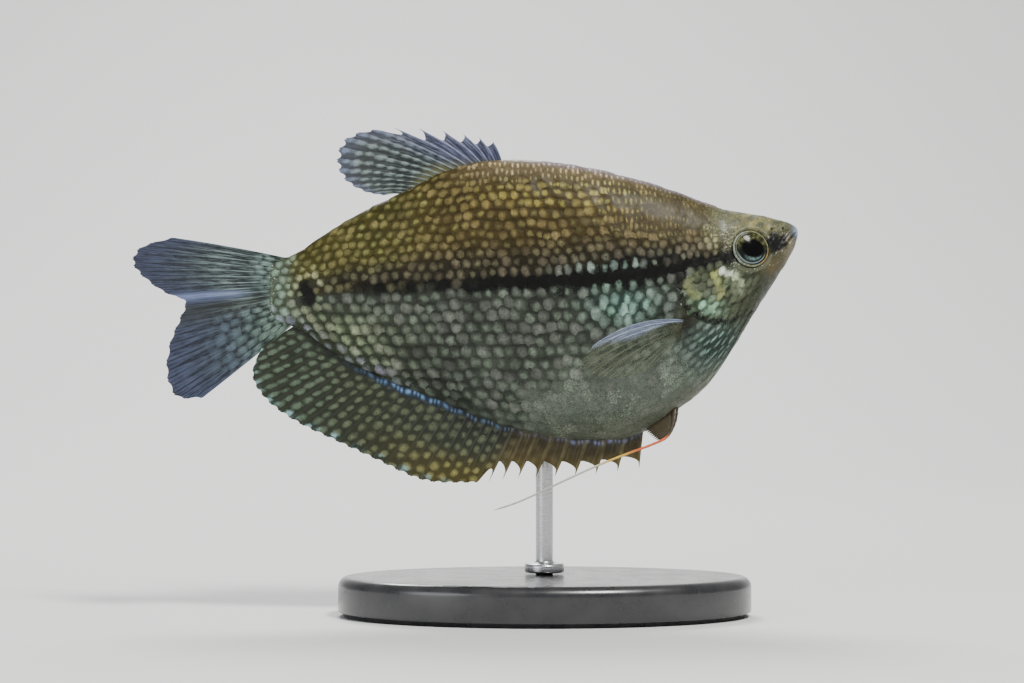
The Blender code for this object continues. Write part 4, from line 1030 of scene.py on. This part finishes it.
# Fins
def build_fin(name, node, ray_at, rays, profile, looks, finish, cells=10, rows=60):
    """A thin membrane with raised rays, closed all round. ray_at(ray, way) is its middle surface,
    profile(ray, way) gives (half thickness, reach), and looks(points, ray, way) gives the coat, how solid
    the ground and how strong the spots are, the spots' half width and half length, and how pale the rays
    are."""
    columns = (rays - 1) * cells + 1
    steps_up = np.arange(rows + 1)[:, None] / rows
    ray = np.arange(columns) / cells
    reach = profile(ray, np.ones(columns))[1]
    grid_ray = np.broadcast_to(ray, (rows + 1, columns))
    way = steps_up * reach
    points = ray_at(grid_ray, way)
    steps = np.linalg.norm(np.diff(points, axis=0), axis=-1)
    along = np.concatenate([np.zeros((1, columns)), np.cumsum(steps, axis=0)])
    normals = grid_normals(ray_at(grid_ray, np.broadcast_to(steps_up, grid_ray.shape)))
    half = profile(grid_ray, way)[0]
    half[-1] *= 0.4
    upper, lower = points + normals * half[..., None], points - normals * half[..., None]
    total = (rows + 1) * columns
    faces = [grid_faces(rows + 1, columns), grid_faces(rows + 1, columns, start=total)[:, ::-1]]
    edge = np.concatenate([np.arange(columns), np.arange(1, rows + 1) * columns + columns - 1,
                           rows * columns + np.arange(columns - 2, -1, -1),
                           np.arange(rows - 1, 0, -1) * columns])
    following = np.roll(edge, -1)
    faces.append(pack(edge, edge + total, following + total, following))
    coat, *rest = looks(points.reshape(-1, 3), grid_ray.ravel(), way.ravel())
    clear, strong, *mark = np.broadcast_arrays(*rest, way.ravel())[:5]
    place = pack(grid_ray, along, way).reshape(-1, 3)
    uv = pack(0.5 * grid_ray / (rays - 1), way).reshape(-1, 2)

    def both(values, other=0.0):
        """The values for the upper and the lower side, where the lower one's differ by this."""
        return np.vstack([values, values + other])

    colours = {"Ground": both(np.column_stack([coat.ground, np.clip(clear, 0, 1)])),
               "Spot": both(np.column_stack([coat.spot, np.clip(strong, 0, 1)]))}
    surface = np.vstack([upper.reshape(-1, 3), lower.reshape(-1, 3)])
    made = new_object(name, surface, np.vstack(faces), finish, colours,
                      {"Fin": both(place), "Mark": both(pack(*mark))}, ("UVMap", both(uv, (0.5, 0))))
    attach(made, "root")
    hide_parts(node)


def bezier(start, turn, end, way):
    """A bend from start to end that is drawn towards turn."""
    way = way[..., None]
    return start * (1 - way) ** 2 + turn * 2 * way * (1 - way) + end * way * way


def rayed(thin=0.07, thick=0.17, fork=0.2, split=0.55, fork2=0.0, split2=0.8, notch=0.03, spines=0,
          depth=0.3, root=0.0, steep=0.6):
    """A fin's profile: soft rays fork once or twice, spines stay whole and the membrane falls away behind
    each. root is how much thicker the fin is where it leaves the body."""

    def profile(ray, way):
        off = abs(ray - np.round(ray))
        spiny = ramp(ray, spines + 0.1, spines - 0.9) if spines else np.zeros_like(ray)
        beside = abs(off - fork * ramp(way, split, 1.0) * (1 - spiny))
        beside = abs(beside - fork2 * ramp(way, split2, 1.0) * (1 - spiny))
        ridge = bell(beside, 0, 0.1 - 0.035 * ramp(way, split, 1.0))
        joints = 1 + 0.1 * np.sin(way * 95 + np.round(ray) * 2.1) * (1 - spiny) * ramp(way, 0.2, 0.4)
        half = thin * (1 - 0.45 * way) + thick * (1 - 0.7 * way) * ridge * joints
        half = half + root * np.clip(1 - way / 0.16, 0, 1) ** 1.6
        behind = ray - np.floor(ray)
        falls = 1 - depth * np.clip(behind * 1.25, 0, 1) ** steep
        soft = 1 - notch * (1 - bell(off, 0, 0.26) + 0.5 * bell(off, 0, 0.06))
        return half, soft * (1 - spiny) + falls * spiny

    return profile


def dorsal_fin():
    """Free spines in front, and behind them soft rays with spots on them."""
    tips = curve(evenly(DORSAL_TIPS))
    # The share of the fin's edge at each ray's tip: the six spines stand close together
    share_at = curve([(0, 0), (1, 0.07), (2, 0.135), (3, 0.195), (4, 0.26), (5, 0.325), (6, 0.385), (16, 1)])
    last = 16

    def ray_at(ray, way):
        share = ray / last
        x = DORSAL_ROOTS[0] + (DORSAL_ROOTS[1] - DORSAL_ROOTS[0]) * share
        root = pack(x, back(x) - 0.9)
        tip = tips(share_at(ray))
        turn = (root + tip) / 2 + np.array([0.9, 0.7]) * (0.4 + share)[..., None]
        place = bezier(root, turn, tip, way)
        return pack(place[..., 0], 0.55 * way * way * np.sin(3.4 * share + 0.4), place[..., 1])

    def looks(points, ray, way):
        front = ramp(ray, 8.5, 4.0)
        coat = Coat(ray.shape, (26, 34, 35), (110, 125, 120))
        coat.paint(front, (42, 48, 72))
        coat.paint(ramp(way, 0.72, 1.0) * 0.7, (44, 50, 72))
        coat.paint(ramp(way, 0.26, 0.1) * (1 - 0.6 * front), (100, 98, 56))
        coat.paint(front * 0.9, spot=(120, 126, 160))
        coat.paint(ramp(way, 0.75, 1.0), spot=(108, 120, 148))
        strong = (1 - 0.9 * front) * (1 - 0.4 * ramp(way, 0.8, 1.0)) * ramp(way, 0.06, 0.14)
        return coat, 0.9 - 0.1 * ramp(way, 0.3, 1.0), strong, 0.31, 0.46, 0.5 + 0.7 * front

    finish = fin_finish("dorsal_finish", pitch=1.75, on_rays=True, fork=0.14, split=0.75, width=0.15,
                        darken=0.55)
    profile = rayed(spines=6, depth=0.34, notch=0.045, thick=0.18, fork=0.14, split=0.75)
    build_fin("dorsal_rays", "dorsal_fin", ray_at, last + 1, profile, looks, finish, cells=16,
              rows=56)


def anal_fin():
    """Brown spines in front, and behind them a spotted part with a blue line where it leaves the body."""
    tips = curve(ANAL_TIPS)
    # The steps between the rays, wide between the spines in front
    steps = [2.9, 2.9, 2.8, 2.7, 2.55, 2.3, 2.0, 1.7, 1.5] + [1.35] * 24
    place_of = np.concatenate([[0], np.cumsum(steps)])
    last = len(steps)
    front, rear = ANAL_TIPS[0][0], ANAL_TIPS[-1][0]
    x_at = curve([(i, front + (rear - front) * p / place_of[-1]) for i, p in enumerate(place_of)])

    def ray_at(ray, way):
        x = x_at(ray)
        share = (front - x) / (front - rear)
        root = pack(x, belly(x) + 0.9)
        tip = tips(x)
        turn = (root + tip) / 2 + np.array([-0.5, -0.4]) * share[..., None]
        place = bezier(root, turn, tip, way)
        return pack(place[..., 0], 0.7 * way * way * np.sin(5.2 * share + 0.3), place[..., 1])

    def looks(points, ray, way):
        x, z = points[:, 0], points[:, 2]
        outside = belly(x) - z
        spiny = ramp(ray, 9.5, 6.5)
        coat = Coat(ray.shape, (32, 36, 24), (74, 80, 60))
        coat.paint(bell(x, -13, 9) * ramp(way, 0.4, 0.9), (58, 52, 17))
        coat.paint(spiny, (54, 45, 20))
        coat.paint(spiny * ramp(way, 0.4, 0.95), (78, 66, 21))
        coat.paint((0.85 - 0.6 * spiny) * bell(outside, 1.3, 1.5) * ramp(x, -28, -10), (26, 26, 20))
        coat.paint(ramp(-x, 26, 38), spot=(74, 87, 72))
        coat.paint(bell(x, -13, 9) * ramp(way, 0.45, 0.9), spot=(120, 114, 62))
        tips_lit = ramp(way, 0.88, 0.97) * ramp(-x, 12, 18) * (0.4 + 0.6 * np.sin(ray * 3.3))
        coat.paint(tips_lit, spot=(140, 184, 186))
        coat.paint(spiny, spot=(106, 98, 62))
        # The bright blue line where the fin leaves the body
        line = bell(outside, 0.3 + 0.2 * np.sin(x * 1.7), 0.3)
        line = line * (0.4 + 0.6 * np.sin(x * 7.9 + 2 * np.sin(x * 2.3)))
        line = np.clip(line * (1.3 * bell(x, -20, 5.5) + 0.4 * bell(x, -8, 6) + 0.8 * bell(x, 8.5, 6)), 0, 1)
        dim = bell(outside, 0.35, 0.6) * np.maximum(bell(x, -20, 7), 0.3 * bell(x, 8.5, 7))
        coat.paint(dim * 0.65, (34, 52, 82))
        coat.paint(line * ramp(-x, -2, 6), (124, 164, 208))
        coat.paint(line * ramp(x, -6, 2), (150, 160, 206))
        strong = (1 - 0.9 * spiny) * ramp(outside, 0.2, 1.2) * (1 - dim)
        clear = 0.98 - 0.04 * spiny * ramp(way, 0.4, 0.8)
        dash = ramp(-x, 18, 34) * ramp(way, 0.1, 0.5)
        return coat, clear, strong, 0.37 - 0.09 * dash, 0.37 + 0.13 * dash, 0.1 + 0.65 * spiny

    finish = fin_finish("anal_finish", pitch=1.75, darken=0.0, width=0.16, fork=0.05, split=0.8, jitter=0.8)
    profile = rayed(spines=9, depth=0.36, notch=0.03, thick=0.15, fork=0.12, split=0.7, steep=0.32)
    build_fin("anal_rays", "anal_fin", ray_at, last + 1, profile, looks, finish, cells=14,
              rows=64)


def tail_fin():
    """One sheet with a wave and a fold in it, with painted shade along the fold, streaked with painted
    highlights along the rays of its upper part, and spotted on the lower one.
    """
    tips = curve(evenly(TAIL_TIPS))
    last = 17

    def ray_at(ray, way):
        share = ray / last
        root = pack(TAIL_ROOT_X, TAIL_ROOTS[0] + (TAIL_ROOTS[1] - TAIL_ROOTS[0]) * share)
        tip = tips(share)
        fan = 1 - 2 * share
        turn = root + (tip - root) * 0.45 + pack(-0.4, 0.5 * fan)
        place = bezier(root, turn, tip, way)
        wave = 1.3 * way * way * (np.cos(2 * math.pi * share) - 0.35 * fan)
        fold = 0.45 * np.sin(ray * 2.2) * bell(share, 0.52, 0.12) * ramp(way, 0.3, 0.8)
        return pack(place[..., 0], fold - wave, place[..., 1])

    def looks(points, ray, way):
        share = ray / last
        low = ramp(share, 0.56, 0.68)
        coat = Coat(ray.shape, (30, 39, 43), (66, 78, 90))
        coat.paint(ramp(way, 0.4, 0.9), (29, 35, 52))
        coat.paint(ramp(way, 0.3, 0.04), (40, 50, 40))
        # Painted shade along the fold in the middle: a greyer ground here, and fewer spots and duller rays
        # below
        coat.paint(bell(share, 0.57, 0.08) * ramp(way, 0.1, 0.3), (40, 44, 40))
        coat.paint(ramp(way, 0.6, 0.95) * 0.8, spot=(68, 75, 104))
        coat.paint(ramp(way, 0.6, 0.2), spot=(96, 115, 104))
        # Painted highlights along the rays of the upper lobe
        ray_highlights = (1 - low) * bell(way, 0.42, 0.22)
        coat.paint(ray_highlights, spot=(128, 148, 144))
        coat.paint(bell(share, 0.47, 0.04) * ramp(way, 0.35, 0.6) * 0.9, (136, 152, 196))
        spots = low * ramp(way, 0.8, 0.55) + ramp(way, 0.34, 0.2)
        # Along the fold fewer spots and duller rays, as painted shade; brighter rays under the painted
        # highlights
        strong = spots * (1 - 0.7 * bell(share, 0.54, 0.07) * ramp(way, 0.15, 0.3))
        clear = 0.9 + 0.1 * ramp(way, 0.5, 0.1)
        pale = 0.85 + 0.35 * ray_highlights - 0.5 * low * ramp(way, 0.7, 0.5) - 0.6 * bell(share, 0.57, 0.08)
        return coat, clear, strong, 0.58, 0.5, pale * ramp(way, -0.1, 0.35)

    forks = {"fork": 0.25, "split": 0.3, "fork2": 0.125, "split2": 0.62}
    finish = fin_finish("tail_finish", pitch=2.15, jitter=0.9, on_rays=True, width=0.12, darken=0.55,
                        **forks)
    profile = rayed(notch=0.02, thick=0.15, root=0.6, **forks)
    build_fin("tail_rays", "tail_fin", ray_at, last + 1, profile, looks, finish, cells=24, rows=90)


def pectoral_fin(side, finish):
    """A clear fin that stands off the flank, with a pale upper edge."""
    name = SIDES[side]
    tips = curve(evenly(PECTORAL_TIPS))
    top, low = (np.array(p) for p in PECTORAL_ROOTS)
    last = 11

    def ray_at(ray, way):
        share = ray / last
        root = top + (low - top) * share[..., None]
        tip = tips(share)
        turn = (root + tip) / 2 + pack(-0.7 * (1 - share), 2.5 * (1 - share) ** 1.4 + 0.2)
        place = bezier(root, turn, tip, way)
        x, z = place[..., 0], place[..., 1]
        out = flank(x, z) - 0.45 + 1.5 * (1 - (1 - way) ** 6) + (top[0] - x) * math.tan(math.radians(8))
        return pack(x, side * out, z)

    def looks(points, ray, way):
        middle = bell(way, 0.45, 0.3)
        high = ramp(ray, 1.2 + 2.3 * middle, 0.2 + 1.8 * middle)
        coat = Coat(ray.shape, (88, 94, 70), (104, 112, 80))
        coat.paint(high, (98, 106, 134), (186, 202, 212))
        # Painted shade at the fin's root, deeper on its lower rays
        coat.paint(ramp(way, 0.16, 0.0) * (0.4 + 0.6 * ramp(ray, 2, 6)), (44, 38, 24))
        clear = 0.05 + 0.62 * high * (1 - 0.5 * way) + 0.75 * ramp(way, 0.18, 0.0)
        return coat, clear, 0.0, 0.4, 0.4, 0.35 + 0.65 * high

    profile = rayed(thin=0.05, thick=0.12, notch=0.03, root=0.3, split=0.5)
    build_fin(f"pectoral_rays_{name}", f"pectoral_fin_{name}", ray_at, last + 1, profile, looks,
              finish, cells=12, rows=48)


# Round, tapering threads
def thread(path, radii, sides=12):
    """Rings of points round a path, the first and the last drawn to a point."""
    path = np.asarray(path, float)
    along = np.gradient(path, axis=0)
    along /= np.linalg.norm(along, axis=1, keepdims=True)
    side = np.cross(along, (0.1, 1.0, 0.2))
    side /= np.linalg.norm(side, axis=1, keepdims=True)
    other = np.cross(along, side)
    radii = np.array(radii)
    radii[[0, -1]] = 0
    turn = circle(sides)[None, :, None]
    spokes = side[:, None] * np.cos(turn) + other[:, None] * np.sin(turn)
    return path[:, None] + spokes * radii[:, None, None]


def feeler(side, finish):
    """The long pelvic ray, and a fan of short ones between it and the belly."""
    name = SIDES[side]
    route = curve(evenly(FEELER_LEFT if side > 0 else FEELER_RIGHT))
    share = np.linspace(0, 1, 120)
    path = route(share)
    radii = 0.23 - 0.11 * share + 0.34 * ramp(share, 0.22, 0.0)
    radii = radii * (1 + 0.05 * np.sin(share * 160))
    radii[-4:] *= np.array([0.85, 0.65, 0.4, 0.1])
    tubes = [(thread(path, radii), share)]
    # The fan's short rays start where the long one does, and end between it and this point of the belly
    keel = np.array([14.8, side * 1.3, 27.9])
    way = np.linspace(0, 1, 30)
    follow = route(way * (0.18 if side > 0 else 0.3))
    for fan in np.linspace(0, 0.94, 10):
        straight = path[0] + (keel - path[0]) * way[:, None]
        thin = 0.24 * (1 - 0.25 * way) * np.clip(9 * (1 - way), 0.05, 1)
        tubes.append((thread(straight + (follow - straight) * fan, thin), 0.02 + 0.12 * way))
    points, faces, ways = np.empty((0, 3)), [], []
    for grid, share in tubes:
        rows, sides = grid.shape[:2]
        faces.append(grid_faces(rows, sides, wrap=True, start=len(points)))
        points = np.vstack([points, grid.reshape(-1, 3)])
        ways.append(np.repeat(share, sides))
    ways = np.concatenate(ways)
    made = new_object(f"feeler_{name}", points, np.vstack(faces), finish,
                      vectors={"Fin": pack(0, 0, ways)}, join=True)
    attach(made, "root")
    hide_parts(f"pelvic_feeler_{name}")


# Eyes
def build_eye(side, finish):
    """A low dome with a fine ring at its edge, set in its socket as the solid eye is."""
    name = SIDES[side]
    away = np.linspace(0, 1, 40) ** 0.8
    turn = circle(72)
    dome = 0.95 * np.sqrt(np.clip(1 - (away * 0.96) ** 2, 0, 1)) - 0.26
    dome = dome + 0.05 * bell(away, 0.9, 0.05) - 0.04 * bell(away, 0.8, 0.03) + 0.12 * bell(away, 0, 0.42)
    # The last three rings close the eye behind
    radius = EYE_RADIUS * np.concatenate([away, [0.98, 0.7, 0.0]])[:, None]
    height = np.concatenate([dome, [-0.7, -1.2, -1.4]])[:, None]
    points = pack(radius * np.cos(turn), radius * np.sin(turn), height).reshape(-1, 3)
    looks = Vector((math.sin(EYE_FORWARD), side * math.cos(EYE_FORWARD) * math.cos(EYE_UP),
                    math.sin(EYE_UP)))
    forward = Vector((1, 0, 0))
    ahead = (forward - looks * forward.dot(looks)).normalized()
    axes = np.array([ahead[:], (ahead.cross(looks) * side)[:], looks[:]])
    centre = np.array([EYE_X, side * (float(flank(EYE_X, EYE_Z)) - 0.15), EYE_Z])
    # The mirrored eye's faces turn the other way round
    faces = grid_faces(len(radius), len(turn), wrap=True)[:, ::side]
    made = new_object(f"eyeball_{name}", points @ axes + centre, faces, finish,
                      vectors={"Eye": points / EYE_RADIUS}, join=True)
    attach(made, "root")
    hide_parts(f"eye_{name}")


# Stand
def corner(radius, height, bend, start, end, steps):
    """(radius, height) of the points of a rounded edge, from one angle to another."""
    return [(radius + bend * math.cos(a), height + bend * math.sin(a))
            for a in np.radians(np.linspace(start, end, steps))]


def turned(name, rings, steps, y, finish):
    """A closed body of oval rings, (half length, half width, height) each, round an upright line at y."""
    points = np.array([[a * math.cos(t), y + b * math.sin(t), z]
                       for a, b, z in rings for t in circle(steps)])
    return new_object(name, points, grid_faces(len(rings), steps, wrap=True)[:, ::-1], finish, join=True)


def stand():
    """An oval base with a softly rounded edge, and a steel rod in a low collar."""
    edge = corner(30.75, 0.95, 0.25, -90, 0, 5) + corner(29.5, 4.5, 1.5, 0, 90, 14)
    rings = [(0.0, 0.0, 0.0), (30.2, 19.2, 0.0), (30.4, 19.4, 0.7)]
    rings += [(r, r - 11.0, z) for r, z in edge]
    rings += [(29.0, 18.0, 6.0), (22.0, 13.6, 6.0), (11.0, 6.8, 6.0), (0.0, 0.0, 6.0)]
    base = turned("base_oval", rings, 180, 0.0, base_finish())
    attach(base, "root")
    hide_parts("stand_base")
    collar = [(0.0, 2.8), (1.3, 2.8), (1.3, 6.3), (2.8, 6.3)] + corner(2.7, 6.6, 0.3, -90, 0, 5)
    collar += corner(2.5, 7.2, 0.5, 0, 90, 8) + [(1.75, 7.7)] + corner(1.75, 8.15, 0.45, -90, -180, 7)
    rod = collar + [(1.3, z) for z in np.linspace(9, 34.0, 12)] + [(1.2, 34.3), (0.0, 34.5)]
    rod = turned("rod_steel", [(r, r, z) for r, z in rod], 96, 3.5, rod_finish())
    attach(rod, "root")
    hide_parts("stand_rod")


# Floor, lights and camera
def stage():
    """A floor that bends up into a wall behind the model."""
    width, depth, rise = 3.0, 1.6, 1.4
    bend = [(-depth, 0.0)]
    bend += [(0.35 + 0.35 * math.sin(a), 0.35 - 0.35 * math.cos(a)) for a in np.linspace(0, math.pi / 2, 14)]
    bend.append((0.7, rise))
    points = [(x / MM, y / MM, z / MM) for y, z in bend for x in (-width, width)]
    faces = [(2 * i, 2 * i + 1, 2 * i + 3, 2 * i + 2) for i in range(len(bend) - 1)]
    n = Nodes("floor_finish", Roughness=0.8, Base_Color=(0.72, 0.72, 0.71, 1))
    floor = new_object("floor", points, faces, n.material)


def light(name, place, target, size, power, colour=(1, 1, 1)):
    """A round lamp at this place, turned towards the target."""
    lamp = bpy.data.lights.new(name, "AREA")
    lamp.shape, lamp.size, lamp.energy, lamp.color = "DISK", size, power, colour
    made = bpy.data.objects.new(name, lamp)
    made.location = place
    made.rotation_euler = (Vector(target) - Vector(place)).to_track_quat("-Z", "Y").to_euler()
    bpy.context.scene.collection.objects.link(made)


def lights():
    """A key light and a weaker fill in front, a rim light behind, and a soft sky."""
    fish = (-0.01, 0, 0.05)
    light("key", (0.22, -0.38, 0.62), fish, 0.18, 6.5, (1.0, 0.985, 0.96))
    light("fill", (-0.5, -0.5, 0.2), fish, 0.4, 1.6, (0.94, 0.97, 1.0))
    light("rim", (-0.1, 0.45, 0.55), fish, 0.3, 5.0)
    world = bpy.data.worlds.new("studio")
    bpy.context.scene.world = world
    world.use_nodes = True
    world.node_tree.nodes["Background"].inputs[0].default_value = (0.9, 0.93, 0.96, 1)
    world.node_tree.nodes["Background"].inputs[1].default_value = 0.4


def camera():
    """The photograph's view: square to the fish's side, level with its belly."""
    lens = bpy.data.cameras.new("camera")
    lens.sensor_width, lens.lens, lens.clip_start = 36.0, 100.0, 0.01
    made = bpy.data.objects.new("camera", lens)
    made.location = (-0.0049, -0.427, 0.0412)
    made.rotation_euler = (math.pi / 2, 0, 0)
    bpy.context.scene.collection.objects.link(made)
    bpy.context.scene.camera = made


def main():
    camera()
    stage()
    lights()
    build_skin(skin_finish())
    scale = scale_finish()
    eye = eye_finish()
    pectoral = fin_finish("pectoral_finish", pitch=2.0, width=0.16, darken=0.0, split=0.5, firm=0.3)
    feelers = feeler_finish()
    for side in (-1, 1):
        build_scales(side, scale)
        build_eye(side, eye)
        pectoral_fin(side, pectoral)
        feeler(side, feelers)
    dorsal_fin()
    anal_fin()
    tail_fin()
    stand()


main()
